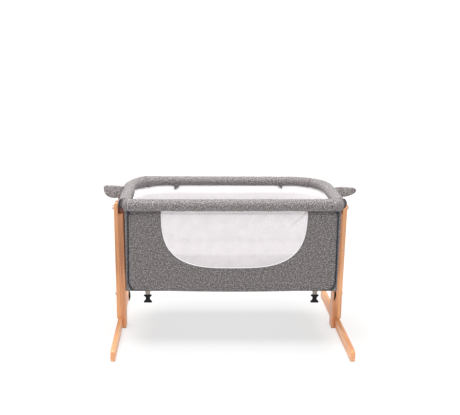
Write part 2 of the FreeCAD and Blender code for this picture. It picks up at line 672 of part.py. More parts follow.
def window_prism(grow, y0, y1):
    """The window's outline: straight at the rail, a rounded bowl below, with equal and opposite
    ends. It is a superellipse, which the bowl's curve runs through."""
    half = WINDOW_HALF + grow
    drop = PANEL_TOP - WINDOW_BOTTOM + grow
    points = []
    steps = 16
    for i in range(steps + 1):
        angle = math.pi * i / steps
        c, s = math.cos(angle), math.sin(angle)
        x = math.copysign(abs(c) ** (2 / WINDOW_POWER), c) * half
        points.append(V(x, y0, PANEL_TOP - s ** (2 / WINDOW_POWER) * drop if 0 < i < steps else PANEL_TOP))
    bowl = Part.BSplineCurve()
    bowl.interpolate(points)
    top = line(points[-1], points[0])
    return Part.Face(Part.Wire([bowl.toShape(), top])).extrude(V(0, y1 - y0, 0))


def front_panel():
    panel = prism(front_panel_corners(), V(0, PANEL_T, 0))
    return panel.cut(window_prism(0, PANEL_Y - 1, PANEL_Y + PANEL_T + 1))


def mesh_window():
    y = PANEL_Y + PANEL_T + 0.2
    return window_prism(7.0, y, y + 1.0)


def zip_half(near, far, end_x, end_z):
    """One side of a zip, between two distances from the zip line: down the corner, then slanting in."""
    y0, y1 = PANEL_Y - 0.6, PANEL_Y + PANEL_T
    corners = ((zip_x(PANEL_TOP), PANEL_TOP), (zip_x(ZIP_LOW_Z), ZIP_LOW_Z), (end_x, end_z))
    inner = [V(x + near, y0, z) for x, z in corners]
    outer = [V(x + far, y0, z) for x, z in corners]
    return prism(inner + outer[::-1], V(0, y1 - y0, 0))


def zip_chain():
    return zip_half(0.3, 9.0, ZIP_END_X, ZIP_END_Z)


def front_zip_chain():
    return zip_half(-3.3, -0.6, FRONT_CHAIN_END_X, PANEL_BOTTOM)


def drop_frame():
    """Welded tube frame of the drop side: rail, two arms, low cross tube and two hinge lugs."""
    frame = rod_x(-FRONT_RAIL_HALF + 9, FRONT_RAIL_HALF - 9, DROP_RAIL_Y, RAIL_Z, TUBE_R)
    frame = frame.fuse(rod_x(-HINGE_X, HINGE_X, ARM_Y, LOW_TUBE_Z, ARM_R))
    for x in (-HINGE_X, HINGE_X):
        frame = frame.fuse(rod(V(x, ARM_Y, LOW_TUBE_Z), V(x, ARM_Y, RAIL_Z), ARM_R))
        frame = frame.fuse(Part.makeSphere(ARM_R, V(x, ARM_Y, LOW_TUBE_Z)))
        lug = rod_x(x - LUG_HALF, x + LUG_HALF, HINGE_Y, HINGE_Z, LUG_R)
        web = prism([V(x - LUG_HALF, HINGE_Y - 4.0, HINGE_Z + 3), V(x - LUG_HALF, HINGE_Y + 4.5, HINGE_Z - 2),
                     V(x - LUG_HALF, ARM_Y + 4.0, LOW_TUBE_Z), V(x - LUG_HALF, ARM_Y - 4.5, LOW_TUBE_Z)],
                    V(2 * LUG_HALF, 0, 0))
        frame = frame.fuse(lug).fuse(web)
    frame = frame.removeSplitter()
    for x in (-HINGE_X, HINGE_X):
        frame = frame.cut(rod_x(x - 10, x + 10, HINGE_Y, HINGE_Z, PIN_R + PIN_FIT))
    return frame


def hinge_pin():
    return rod_x(HINGE_X - HINGE_REACH, HINGE_X + HINGE_REACH, HINGE_Y, HINGE_Z, PIN_R)


def front_rail_cover():
    """Padded sleeve of the front rail, with rounded ends."""
    sleeve = rod_x(-FRONT_RAIL_HALF, FRONT_RAIL_HALF, FRONT_RAIL_Y, RAIL_Z, FRONT_RAIL_R)
    sleeve = fillet_where(sleeve, 14.0, lambda e: e.Closed and e.Length < 200)
    bore = rod_x(-FRONT_RAIL_HALF + 8, FRONT_RAIL_HALF - 8, DROP_RAIL_Y, RAIL_Z, TUBE_R + GAP)
    sleeve = sleeve.cut(bore)
    for x in (-HINGE_X, HINGE_X):
        sleeve = sleeve.cut(rod(V(x, ARM_Y, RAIL_Z - 40), V(x, ARM_Y, RAIL_Z), ARM_R + GAP))
    for x in (-STEEL_HALF, STEEL_HALF):
        sleeve = sleeve.cut(rod(V(x, DROP_RAIL_Y, RAIL_Z), V(x, -180, RAIL_Z), 4.0 + GAP))
    return biggest(sleeve)


def rail_stud():
    """Stud on the back of the front rail, rounded at its tip."""
    tip = SIDE_RAIL_FRONT + 7
    stud = rod(V(STEEL_HALF, DROP_RAIL_Y + TUBE_R - 1, RAIL_Z), V(STEEL_HALF, tip, RAIL_Z), 3.0)
    stud = fillet_where(stud, 1.5, lambda e: e.Closed and abs(e.CenterOfMass.y - tip) < 0.1)
    return stud.cut(rod_x(STEEL_HALF - 20, STEEL_HALF + 20, DROP_RAIL_Y, RAIL_Z, TUBE_R + 0.02))


# ---------------------------------------------------------------- straps and zip sliders
def strap_webbing():
    """Short tab of webbing under the basket, narrowed where it enters the buckle."""
    y0 = STRAP_Y - 1.1
    outline = [V(STRAP_X - 13, y0, STRAP_TOP), V(STRAP_X + 13, y0, STRAP_TOP),
               V(STRAP_X + 10, y0, STRAP_TOP - 14), V(STRAP_X + 10, y0, STRAP_JOIN),
               V(STRAP_X - 10, y0, STRAP_JOIN), V(STRAP_X - 10, y0, STRAP_TOP - 14)]
    return prism(outline, V(0, 2.2, 0))


def strap_buckle():
    """Half of a side-release buckle: wide where the webbing goes in, waisted, wide at its end."""
    y0 = STRAP_Y - 4.0
    top, low = STRAP_JOIN + 2.0, BUCKLE_LOW
    half = [(14.0, top), (15.0, top - 5), (8.5, top - 13), (8.5, top - 19), (15.5, top - 28),
            (15.5, low + 2), (12.5, low)]
    points = [V(STRAP_X + x, y0, z) for x, z in half] + [V(STRAP_X - x, y0, z) for x, z in reversed(half)]
    body = prism(points, V(0, 8.0, 0))
    slot = box(STRAP_X - 10.4, STRAP_X + 10.4, STRAP_Y - 1.5, STRAP_Y + 1.5, STRAP_JOIN - 0.4, top + 1)
    mouth = box(STRAP_X - 10.5, STRAP_X + 10.5, STRAP_Y - 2.3, STRAP_Y + 2.3, low - 1, low + 7)
    return body.cut(slot).cut(mouth)


def zip_slider():
    """Small metal slider with a bail for its puller."""
    half = 3.5
    y1 = PANEL_Y - 1.0
    body = box(ZIP_SLIDER_X - half, ZIP_SLIDER_X + half, y1 - 2.4, y1, ZIP_SLIDER_Z - 5, ZIP_SLIDER_Z + 5)
    body = fillet_where(body, 1.0, lambda e: runs_along(e, V(0, 1, 0)))
    bail = rod_x(ZIP_SLIDER_X - 2.6, ZIP_SLIDER_X + 2.6, PULLER_Y, PULLER_Z, 0.8)
    for x in (ZIP_SLIDER_X - 2.6, ZIP_SLIDER_X + 1.8):
        bail = bail.fuse(box(x, x + 0.8, PULLER_Y - 0.5, y1 - 2, PULLER_Z - 0.6, PULLER_Z + 0.6))
    return body.fuse(bail).removeSplitter()


def zip_puller():
    """Cord puller that hangs from the slider's bail."""
    ring = rod_x(ZIP_SLIDER_X - 1.4, ZIP_SLIDER_X + 1.4, PULLER_Y, PULLER_Z, 1.9)
    tab = box(ZIP_SLIDER_X - 2.0, ZIP_SLIDER_X + 2.0, PULLER_Y - 1.4, PULLER_Y + 1.4,
              PULLER_LOW, PULLER_Z - 1.5)
    tab = fillet_where(tab, 1.0, lambda e: runs_along(e, V(0, 0, 1)))
    neck = box(ZIP_SLIDER_X - 1.4, ZIP_SLIDER_X + 1.4, PULLER_Y - 1.2, PULLER_Y + 1.2, PULLER_Z - 4, PULLER_Z)
    bore = rod_x(ZIP_SLIDER_X - 5, ZIP_SLIDER_X + 5, PULLER_Y, PULLER_Z, 0.8 + 0.15)
    return ring.fuse(tab).fuse(neck).removeSplitter().cut(bore)


# ---------------------------------------------------------------- write the nodes
RIGHT_AND_LEFT = {
    "outer_post": outer_post,
    "front_guide": lambda: guide(-1),
    "rear_guide": lambda: guide(1),
    "stop_block": stop_block,
    "foot": foot,
    "lock_screw": lock_screw,
    "slider": slider,
    "handle_core": handle_core,
    "handle_cover": handle_cover,
    "end_frame": end_frame,
    "end_panel": end_panel,
    "strap_webbing": strap_webbing,
    "strap_buckle": strap_buckle,
    "zip_slider": zip_slider,
    "zip_puller": zip_puller,
}

SINGLE = {
    "guide_screws": guide_screws,
    "post_bolts": lambda: both(post_bolt()),
    "foot_bolts": foot_bolts,
    "barrel_nuts": barrel_nuts,
    "foot_glides": foot_glides,
    "handle_screws": handle_screws,
    "top_rail_tube": top_rail_tube,
    "base_ring": base_ring,
    "spacer_bushes": spacer_bushes,
    "slider_bolts": slider_bolts,
    "rail_catches": lambda: both(rail_catch()),
    "hinge_brackets": lambda: both(hinge_bracket()),
    "base_boards": base_boards,
    "mattress": mattress,
    "back_panel": back_panel,
    "bottom_panel": bottom_panel,
    "inner_lining": inner_lining,
    "left_rail_cover": lambda: rail_cover("left"),
    "back_rail_cover": lambda: rail_cover("back"),
    "right_rail_cover": lambda: rail_cover("right"),
    "rail_tabs": lambda: both(rail_tab()),
    "front_lining": front_lining,
    "side_zip_chains": lambda: both(zip_chain()),
    "front_panel": front_panel,
    "mesh_window": mesh_window,
    "front_zip_chains": lambda: both(front_zip_chain()),
    "drop_frame": drop_frame,
    "front_rail_cover": front_rail_cover,
    "rail_studs": lambda: both(rail_stud()),
    "hinge_pins": lambda: both(hinge_pin()),
}


def save(name, shape):
    solids = shape.Solids
    if not solids or not shape.isValid():
        raise ValueError(f"{name}: {len(solids)} solids, valid {shape.isValid()}")
    whole = solids[0] if len(solids) == 1 else Part.makeCompound(solids)
    whole.exportStep(f"parts/{name}.step")
    print(f"{name}: {len(solids)} solids, {whole.Volume / 1000:.1f} cm3")


os.makedirs("parts", exist_ok=True)
for part_name, make in RIGHT_AND_LEFT.items():
    right = make()
    save(f"right_{part_name}", right)
    save(f"left_{part_name}", mirrored(right))
for part_name, make in SINGLE.items():
    save(part_name, make())
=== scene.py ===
import json
from math import atan2, copysign, cos, degrees, exp, hypot, pi, radians, remainder, sin, sqrt

import bmesh
import bpy
import numpy as np
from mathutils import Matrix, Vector, noise


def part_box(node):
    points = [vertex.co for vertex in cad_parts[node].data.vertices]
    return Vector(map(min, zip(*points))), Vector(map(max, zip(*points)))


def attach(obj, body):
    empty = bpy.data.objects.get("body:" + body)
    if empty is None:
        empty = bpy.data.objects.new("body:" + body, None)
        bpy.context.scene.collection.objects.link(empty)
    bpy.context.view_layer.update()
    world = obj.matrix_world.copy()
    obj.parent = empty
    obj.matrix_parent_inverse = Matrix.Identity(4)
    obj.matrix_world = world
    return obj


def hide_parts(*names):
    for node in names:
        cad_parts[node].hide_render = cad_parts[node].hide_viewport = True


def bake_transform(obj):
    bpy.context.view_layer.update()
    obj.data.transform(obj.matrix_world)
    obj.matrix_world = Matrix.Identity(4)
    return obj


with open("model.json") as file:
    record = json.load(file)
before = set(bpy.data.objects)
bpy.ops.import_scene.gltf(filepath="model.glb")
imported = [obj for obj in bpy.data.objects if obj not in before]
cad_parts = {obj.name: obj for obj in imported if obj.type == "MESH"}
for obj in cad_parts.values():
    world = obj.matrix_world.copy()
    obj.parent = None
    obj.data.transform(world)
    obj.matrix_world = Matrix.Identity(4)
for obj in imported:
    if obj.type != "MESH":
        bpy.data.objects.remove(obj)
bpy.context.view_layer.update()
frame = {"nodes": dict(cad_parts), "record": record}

# Bassinet on a beech stand. Metres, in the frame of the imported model: +X along the length,
# -Y towards the drop side, +Z up, with the origin on the floor.
MM = 0.001


def span(node):
    """Lowest and highest corner of a CAD node, as numpy arrays."""
    low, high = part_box(node)
    return np.array(low), np.array(high)


# ---------------------------------------------------------------- sizes, from the frame
side_low, side_high = span("left_rail_cover")
RAIL_R = (side_high[2] - side_low[2]) / 2
RAIL_Z = (side_high[2] + side_low[2]) / 2
RAIL_HALF = -side_low[0] - RAIL_R
RAIL_BACK = span("back_rail_cover")[1][1] - RAIL_R
RAIL_FRONT = side_low[1]
RAIL_CORNER = 140 * MM           # centre-line radius of the back corners
CORNER_X, CORNER_Y = RAIL_HALF - RAIL_CORNER, RAIL_BACK - RAIL_CORNER
COVER_FRONT = RAIL_FRONT + 5 * MM   # where the side covers' domed front ends begin
SIDE_FILL = 3 * MM               # how much fuller the side covers are padded
HEM_STITCHES = 13 * MM           # above the walls' lower edge
SEAM_DEG = 51.6                  # where the side and back covers meet, seen from the corner's centre
front_low, front_high = span("front_rail_cover")
FRONT_R = (front_high[2] - front_low[2]) / 2
FRONT_Y = (front_high[1] + front_low[1]) / 2
FRONT_HALF = front_high[0]
panel_low, panel_high = span("front_panel")
PANEL_Y = panel_low[1]
PANEL_TOP = panel_high[2]
mesh_low, mesh_high = span("mesh_window")
MESH_MARGIN = 7 * MM             # mesh sewn behind the grey fabric
WINDOW_HALF = mesh_high[0] - MESH_MARGIN - 2 * MM
WINDOW_LOW = mesh_low[2] + MESH_MARGIN + 4 * MM
WINDOW_POWER = 3.1               # exponent of the window's rounded outline
WINDOW_SHIFT = 5 * MM            # it is sewn a little to the right
WALL_LOW = span("back_panel")[0][2]
lining_low, lining_high = span("inner_lining")
curb_low, curb_high = span("front_lining")
pad_low, pad_high = span("mattress")

ZIP_TOP_X = 394.5 * MM           # the zip's line down the front corner
ZIP_LOW_X = 399 * MM
ZIP_LOW_Z = 267 * MM             # below it the zip slants inwards
ZIP_END_X = 385 * MM
ZIP_END_Z = 241 * MM
ZIP_GAP = 2.0 * MM               # fabric on each side stops this far from the zip's middle
LINING_LIP = np.array((5, 9, 13, 17, 19)) * MM   # the lining turns outwards to the zips
HEM_END_Z = 240 * MM             # the front hem, at its ends and in the middle
HEM_MIDDLE_Z = 231.5 * MM
LINING_CORNER = 117 * MM         # radii of the back corners inside
MATTRESS_CORNER = 108 * MM
QUILTING = 62 * MM               # across one diamond of the mattress's stitching
HANDLE_SMOOTHING = {"left": 12, "right": 45}   # rounds that soften the handles' outlines

# ---------------------------------------------------------------- light and camera
FLOOR_TONE = 0.3
FLOOR_GLOW = 0.66                # near the bassinet, rising to 1 in the distance
SKY = 0.2
TOP_WATTS = 148
LAMP_SIZE = 2.6
LAMP_PLACE = (-0.2, -0.1, 3.0)
CAMERA_PLACE = (-0.1547, -3.1919, 1.2583)
CAMERA_TILT = 72.29              # degrees up from straight down
CAMERA_LENS = 63.31              # mm, on a sensor 36 mm wide
CAMERA_SHIFT = (0.0828, 0.1403)


# ---------------------------------------------------------------- materials
def srgb(red, green, blue):
    """A colour given as screen values from 0 to 255, made linear."""
    values = [c / 255 for c in (red, green, blue)]
    return [c / 12.92 if c <= 0.04045 else ((c + 0.055) / 1.055) ** 2.4 for c in values] + [1.0]


class Shader:
    """A material with a Principled surface, and short calls that add nodes to it."""

    def __init__(self, name, **values):
        self.material = bpy.data.materials.new(name)
        self.material.use_nodes = True
        self.tree = self.material.node_tree
        self.surface = self.tree.nodes["Principled BSDF"]
        for socket, value in values.items():
            self.surface.inputs[socket.replace("_", " ")].default_value = value

    def node(self, kind, *links, **settings):
        """A node; links are (input, value or output) pairs."""
        made = self.tree.nodes.new("ShaderNode" + kind)
        for key, value in settings.items():
            setattr(made, key, value)
        for socket, value in links:
            self.feed(made.inputs[socket], value)
        return made

    def feed(self, socket, value):
        if isinstance(value, bpy.types.NodeSocket):
            self.tree.links.new(value, socket)
        else:
            socket.default_value = value

    def math(self, operation, a, b=0.0, c=0.0):
        return self.node("Math", (0, a), (1, b), (2, c), operation=operation).outputs[0]

    def place(self, source, scale):
        """Coordinates from the cloth map or the object, stretched."""
        if source == "cloth":
            origin = self.node("UVMap", uv_map="cloth").outputs["UV"]
        else:
            origin = self.node("TexCoord").outputs["Object"]
        return self.node("Mapping", ("Vector", origin), ("Scale", scale)).outputs[0]

    def noise(self, where, detail=2.0, roughness=0.5, distortion=0.0):
        made = self.node("TexNoise", ("Vector", where), ("Scale", 1.0), ("Detail", detail),
                         ("Roughness", roughness), ("Distortion", distortion))
        return made.outputs["Fac"]

    def mottle(self, source, scale, detail=2.0, roughness=0.5):
        """Noise on the cloth map or the object, stretched."""
        return self.noise(self.place(source, scale), detail, roughness)

    def drive(self, socket, value):
        """Lets a node's output drive one of the surface's inputs."""
        self.feed(self.surface.inputs[socket], value)

    def ramp(self, factor, *stops):
        """A colour ramp through (position, colour) stops."""
        made = self.node("ValToRGB", ("Fac", factor))
        points = made.color_ramp.elements
        while len(points) < len(stops):
            points.new(0.5)
        for point, (position, colour) in zip(points, stops):
            point.position = position
            point.color = colour
        return made.outputs["Color"]

    def bump(self, height, distance, strength=1.0):
        made = self.node("Bump", ("Height", height), ("Distance", distance), ("Strength", strength))
        self.drive("Normal", made.outputs[0])

    def weave(self, source, pitch):
        """Height of a plain weave: threads over and under, from 0 to 1."""
        turns = 2 * pi / pitch
        split = self.node("SeparateXYZ", ("Vector", self.place(source, (turns, turns, turns))))
        across = self.math("SINE", split.outputs[0])
        along = self.math("SINE", split.outputs[1 if source == "cloth" else 2])
        return self.math("MULTIPLY_ADD", self.math("MULTIPLY", across, along), 0.5, 0.5)


def melange_material(name, painted_light_gain=1.0):
    """Grey melange upholstery: threads of mixed greys in a plain weave. Its shades can be scaled up, and a
    copy made lighter that way carries painted light.
    """
    sh = Shader(name, Roughness=0.92, Sheen_Weight=0.1, Sheen_Roughness=0.5)
    warp = sh.mottle("cloth", (1000, 110, 1), 2.0, 0.6)
    weft = sh.mottle("cloth", (110, 1000, 1), 2.0, 0.6)
    flecks = sh.mottle("cloth", (235, 235, 1), 2.0, 0.6)
    clouds = sh.mottle("cloth", (95, 95, 1), 2.0, 0.6)
    specks = sh.mottle("cloth", (700, 700, 1), 1.0)
    mixed = sh.math("MULTIPLY", weft, 0.45)
    for layer, weight in ((warp, 0.45), (flecks, 1.2), (specks, 0.3), (clouds, 0.3)):
        mixed = sh.math("MULTIPLY_ADD", layer, weight, mixed)
    mixed = sh.math("ADD", mixed, -0.85)
    shades = ((0.24, (58, 53, 53)), (0.42, (97, 91, 91)), (0.56, (127, 121, 121)), (0.78, (186, 181, 180)))
    # every shade is scaled together: above 1 this paints light into a lighter copy of the same cloth
    stops = [(place, [c * painted_light_gain for c in srgb(*rgb)[:3]] + [1]) for place, rgb in shades]
    sh.drive("Base Color", sh.ramp(mixed, *stops))
    sh.bump(sh.math("MULTIPLY_ADD", flecks, 0.8, sh.weave("cloth", 1.5 * MM)), 0.35 * MM, 0.8)
    return sh.material


def plain_cloth_material(name, light, dark, pitch, source="cloth", depth=0.2):
    """A fine one-coloured weave with faint uneven threads."""
    sh = Shader(name, Roughness=0.9, Sheen_Weight=0.15, Sheen_Roughness=0.5)
    uneven = sh.mottle(source, (500, 500, 500), 3.0, 0.6)
    weave = sh.weave(source, pitch)
    mixed = sh.math("MULTIPLY_ADD", weave, 0.4, sh.math("MULTIPLY", uneven, 0.6))
    sh.drive("Base Color", sh.ramp(mixed, (0.25, srgb(*dark)), (0.7, srgb(*light))))
    sh.bump(mixed, depth * MM, 0.7)
    return sh.material


def net_material(name):
    """White net: round holes in offset rows, half open."""
    sh = Shader(name, Roughness=0.8, Sheen_Weight=0.2)
    pitch = 2.0 * MM
    cells = sh.node("TexVoronoi", ("Vector", sh.place("cloth", (1 / pitch, 1 / pitch, 1))),
                    ("Scale", 1.0), ("Randomness", 0.15), voronoi_dimensions="2D")
    thread = sh.node("MapRange", ("Value", cells.outputs["Distance"]), ("From Min", 0.22),
                     ("From Max", 0.42), ("To Min", 0.30), ("To Max", 1.0))
    tint = sh.mottle("cloth", (25, 25, 1), 2.0)
    colour = sh.ramp(tint, (0.3, srgb(231, 226, 228)), (0.7, srgb(240, 235, 237)))
    sh.drive("Base Color", colour)
    sh.drive("Alpha", thread.outputs["Result"])
    sh.bump(cells.outputs["Distance"], 0.2 * MM, 0.4)
    return sh.material


def wood_material(name, light, middle, dark, grain, seed):
    """Lacquered beech: soft long figure, fine fibre and short dark flecks along one axis."""
    sh = Shader(name, Roughness=0.42, Coat_Weight=0.12, Coat_Roughness=0.25)

    def along(across, lengthways):
        return tuple(lengthways if axis == grain else across for axis in range(3))

    shifted = sh.node("VectorMath", (0, sh.node("TexCoord").outputs["Object"]),
                      (1, (seed * 0.37, seed * 0.61, seed * 0.83)), operation="ADD").outputs[0]

    def stretched(across, lengthways):
        return sh.node("Mapping", ("Vector", shifted), ("Scale", along(across, lengthways))).outputs[0]

    figure = sh.noise(stretched(55, 3.0), 3.0, 0.5, 0.6)
    fibre = sh.noise(stretched(600, 14), 3.0, 0.6)
    flecks = sh.noise(stretched(900, 160), 1.0)
    flecks = sh.node("MapRange", ("Value", flecks), ("From Min", 0.60), ("From Max", 0.72),
                     ("To Min", 0.0), ("To Max", 0.5)).outputs["Result"]
    mixed = sh.math("MULTIPLY_ADD", fibre, 0.4, sh.math("MULTIPLY", figure, 0.75))
    colour = sh.ramp(mixed, (0.40, srgb(*light)), (0.57, srgb(*middle)), (0.70, srgb(*dark)))
    spotted = sh.node("Mix", ("Factor", flecks), data_type="RGBA")
    sh.feed(spotted.inputs[6], colour)
    sh.feed(spotted.inputs[7], srgb(*dark))
    sh.drive("Base Color", spotted.outputs[2])
    sh.drive("Roughness", sh.math("MULTIPLY_ADD", fibre, 0.2, 0.34))
    sh.bump(sh.math("SUBTRACT", fibre, flecks), 0.12 * MM, 0.5)
    return sh.material


def metal_material(name, colour, roughness, scratch=0.12):
    sh = Shader(name, Metallic=1.0)
    brushed = sh.mottle("object", (400, 2600, 2600), 2.0)
    worn = sh.mottle("object", (90, 90, 90), 3.0)
    darker = [c * 0.82 for c in colour]
    sh.drive("Base Color", sh.ramp(worn, (0.3, srgb(*darker)), (0.6, srgb(*colour))))
    sh.drive("Roughness", sh.math("MULTIPLY_ADD", brushed, scratch, roughness))
    sh.bump(brushed, 0.03 * MM, 0.4)
    return sh.material


def moulded_material(name, colour, roughness=0.5, grain=1500, gloss=0.5):
    """Moulded plastic, rubber or paint with a fine even texture."""
    sh = Shader(name, Specular_IOR_Level=gloss)
    texture = sh.mottle("object", (grain, grain, grain), 2.0)
    dust = sh.mottle("object", (60, 60, 60), 3.0)
    lighter = [min(255, c + 8) for c in colour]
    sh.drive("Base Color", sh.ramp(dust, (0.35, srgb(*colour)), (0.75, srgb(*lighter))))
    sh.drive("Roughness", sh.math("MULTIPLY_ADD", texture, 0.15, roughness))
    sh.bump(texture, 0.05 * MM, 0.5)
    return sh.material


def ribbed_material(name, light, dark, pitch):
    """Webbing and zip tape: ribs across the tape, on the cloth map."""
    sh = Shader(name, Roughness=0.85, Sheen_Weight=0.2)
    turns = 2 * pi / pitch
    split = sh.node("SeparateXYZ", ("Vector", sh.place("cloth", (turns, turns, turns))))
    ribs = sh.math("MULTIPLY_ADD", sh.math("SINE", split.outputs[0]), 0.25, 0.5)
    cords = sh.math("MULTIPLY_ADD", sh.math("SINE", split.outputs[1]), 0.25, ribs)
    uneven = sh.mottle("cloth", (700, 700, 1), 2.0)
    mixed = sh.math("MULTIPLY", sh.math("ADD", cords, uneven), 0.6)
    sh.drive("Base Color", sh.ramp(mixed, (0.25, srgb(*dark)), (0.75, srgb(*light))))
    sh.bump(cords, 0.25 * MM, 0.8)
    return sh.material


GREY = melange_material("grey_melange")
# the same grey cloth made lighter for the rails and the handles: painted light, for the lamp light they
# catch more of than the walls
GREY_RAIL_PAINTED_LIGHT = melange_material("grey_melange_rail_painted_light", 1.22)
GREY_HANDLE_PAINTED_LIGHT = melange_material("grey_melange_handle_painted_light", 1.65)
WHITE = plain_cloth_material("white_lining", (255, 253, 254), (247, 244, 246), 0.9 * MM)
# white cloth greyed down for the low front wall: painted shade
CURB_PAINTED_SHADE = plain_cloth_material("front_wall_lining_painted_shade", (240, 231, 232), (231, 221, 222), 0.9 * MM)
BINDING = plain_cloth_material("white_binding", (255, 254, 255), (250, 248, 250), 0.7 * MM)
# the white mattress knit is coloured light grey: painted shade, for the shade it lies in inside the basket
PAD_PAINTED_SHADE = plain_cloth_material("mattress_knit_painted_shade", (182, 177, 178), (158, 152, 154), 1.6 * MM, depth=0.35)
NET = net_material("white_net")
TAPE = ribbed_material("zip_tape", (58, 64, 76), (24, 28, 38), 1.1 * MM)
TEETH = moulded_material("zip_coil", (22, 26, 36), 0.35)
WEBBING = ribbed_material("webbing", (176, 164, 154), (128, 116, 108), 1.6 * MM)
THREAD = plain_cloth_material("thread", (140, 135, 134), (96, 92, 91), 0.5 * MM, "object", 0.1)
WHITE_THREAD = plain_cloth_material("white_thread", (246, 244, 245), (226, 222, 224), 0.5 * MM,
                                    "object", 0.1)
PLASTIC = moulded_material("black_plastic", (8, 8, 9), 0.42, gloss=0.25)
PULLER = moulded_material("black_puller", (7, 7, 8), 0.6, 900, gloss=0.2)
# dark navy: partly real piping, partly painted shade where the rail ends meet
NAVY_AND_PAINTED_SHADE = plain_cloth_material("navy_piping_and_painted_shade", (44, 52, 72), (18, 22, 34), 0.8 * MM)

CAD_MATERIALS = {
    "nickel": metal_material("satin_nickel", (224, 206, 200), 0.28),
    "zinc_steel": metal_material("zinc_plate", (176, 180, 184), 0.34),
    "zip_metal": metal_material("zip_metal", (150, 150, 154), 0.24),
    "rubber": moulded_material("black_rubber", (24, 24, 25), 0.8, 700),
    "white_steel": moulded_material("white_powder_coat", (224, 224, 222), 0.36, 1100),
    "black_plastic": PLASTIC,
    "board": wood_material("plywood", (206, 176, 132), (190, 156, 112), (160, 124, 84), 0, 5),
}
LIGHT_BEECH = ((252, 190, 140), (240, 172, 120), (210, 138, 90))
BATTEN_BEECH = ((240, 176, 128), (226, 158, 112), (198, 130, 86))
# beech of the sliders darkened to brown: painted shade, as they stand back in the posts' shadow
SLIDER_BEECH_PAINTED_SHADE = ((152, 96, 68), (132, 78, 54), (100, 56, 38))


def dress_cad_nodes():
    """Materials of the CAD nodes: by their slot, and the wood by the way its grain runs."""
    for part in frame["record"]["subparts"]:
        name, slot = part["node"], part["material_slot"]
        seed = sum(ord(letter) for letter in name) % 23
        if slot == "beech":
            tones = LIGHT_BEECH if "post" in name or "foot" in name else BATTEN_BEECH
            material = wood_material("beech_" + name, *tones, 1 if "foot" in name else 2, seed)
        # the dark beech slot gets the beech with painted shade
        elif slot == "dark_beech":
            material = wood_material("beech_" + name, *SLIDER_BEECH_PAINTED_SHADE, 2, seed)
        else:
            material = CAD_MATERIALS.get(slot, GREY)
        node = frame["nodes"][name]
        node.data.materials.clear()
        node.data.materials.append(material)


dress_cad_nodes()


# ---------------------------------------------------------------- mesh helpers
def add_object(name, data, place=(0, 0, 0)):
    made = bpy.data.objects.new(name, data)
    made.location = place
    bpy.context.scene.collection.objects.link(made)
    return made


def new_piece(name, vertices, faces, material, uvs=None):
    """A mesh piece. uvs are cloth coordinates in metres, one for each corner of each face."""
    mesh = bpy.data.meshes.new(name)
    mesh.from_pydata([tuple(v) for v in vertices], [], faces)
    layer = mesh.uv_layers.new(name="cloth")
    if uvs is not None:
        layer.data.foreach_set("uv", np.array(uvs, np.float32).ravel())
    mesh.materials.append(material)
    mesh.polygons.foreach_set("use_smooth", [True] * len(mesh.polygons))
    mesh.validate()
    edit = bmesh.new()
    edit.from_mesh(mesh)
    if all(edge.is_manifold for edge in edit.edges):
        bmesh.ops.recalc_face_normals(edit, faces=edit.faces)
        edit.to_mesh(mesh)
    edit.free()
    mesh.update()
    return add_object(name, mesh)


def circle(count):
    """Evenly spaced angles, once round."""
    return np.linspace(0, 2 * pi, count, endpoint=False)


def clamp(value):
    return min(1.0, max(0.0, value))


def between(start, end, share):
    return start + (end - start) * share


def run_along(points):
    """Length along a path, from its start to each of its points."""
    steps = np.linalg.norm(np.diff(points, axis=0), axis=1)
    return np.concatenate([[0], np.cumsum(steps)])


def lengths(points, axis):
    """Running mean length of a grid of points along one of its two directions."""
    steps = np.linalg.norm(np.diff(points, axis=axis), axis=2).mean(axis=1 - axis)
    return np.concatenate([[0], np.cumsum(steps)])


def laid_flat(corners, flat):
    """Cloth coordinates of one face's corners, seen along an axis."""
    if flat == "box":
        normal = np.abs(np.cross(corners[2] - corners[0], corners[-1] - corners[1]))
        flat = [axis for axis in range(3) if axis != int(np.argmax(normal))]
    return [(corner[flat[0]], corner[flat[1]]) for corner in corners]


def grid_piece(name, points, material, wrap=False, flat=None, capped=False):
    """A piece through a grid of points. wrap joins the last column to the first, and capped closes
    the ends of a wrapped grid. The cloth map runs along the grid, or is laid on flat: on two given
    axes, or with "box" on the two axes that each face is nearest to."""
    points = np.asarray(points, float)
    rows, columns = points.shape[:2]
    u = lengths(points, 0)
    v = lengths(np.concatenate([points, points[:, :1]], axis=1) if wrap else points, 1)
    faces, uvs = [], []
    for i in range(rows - 1):
        for j in range(len(v) - 1):
            k = (j + 1) % columns
            corners = ((i, j, j), (i + 1, j, j), (i + 1, k, j + 1), (i, k, j + 1))
            faces.append([a * columns + b for a, b, _ in corners])
            if flat:
                uvs += laid_flat([points[a, b] for a, b, _ in corners], flat)
            else:
                uvs += [(u[a], v[c]) for a, _, c in corners]
    if capped:
        for row in (list(range(columns)), [(rows - 1) * columns + j for j in range(columns)][::-1]):
            faces.append(row)
            uvs += laid_flat([points[i // columns, i % columns] for i in row], "box")
    return new_piece(name, points.reshape(-1, 3), faces, material, uvs)


def apply_modifiers(piece):
    """Leaves the mesh as its modifiers make it."""
    graph = bpy.context.evaluated_depsgraph_get()
    made = bpy.data.meshes.new_from_object(piece.evaluated_get(graph))
    old = piece.data
    piece.modifiers.clear()
    piece.data = made
    bpy.data.meshes.remove(old)
    return piece


def sheet_piece(name, points, material, thickness, offset=0.0, **options):
    """A grid piece with a fabric's thickness, as one finished mesh."""
    piece = grid_piece(name, points, material, **options)
    solid = piece.modifiers.new("thickness", "SOLIDIFY")
    solid.thickness = thickness
    solid.offset = offset
    solid.use_even_offset = False
    return apply_modifiers(piece)


def joined(name, parts):
    """Several pieces of one material as one piece."""
    with bpy.context.temp_override(active_object=parts[0], selected_editable_objects=parts):
        bpy.ops.object.join()
    parts[0].name = parts[0].data.name = name
    return parts[0]


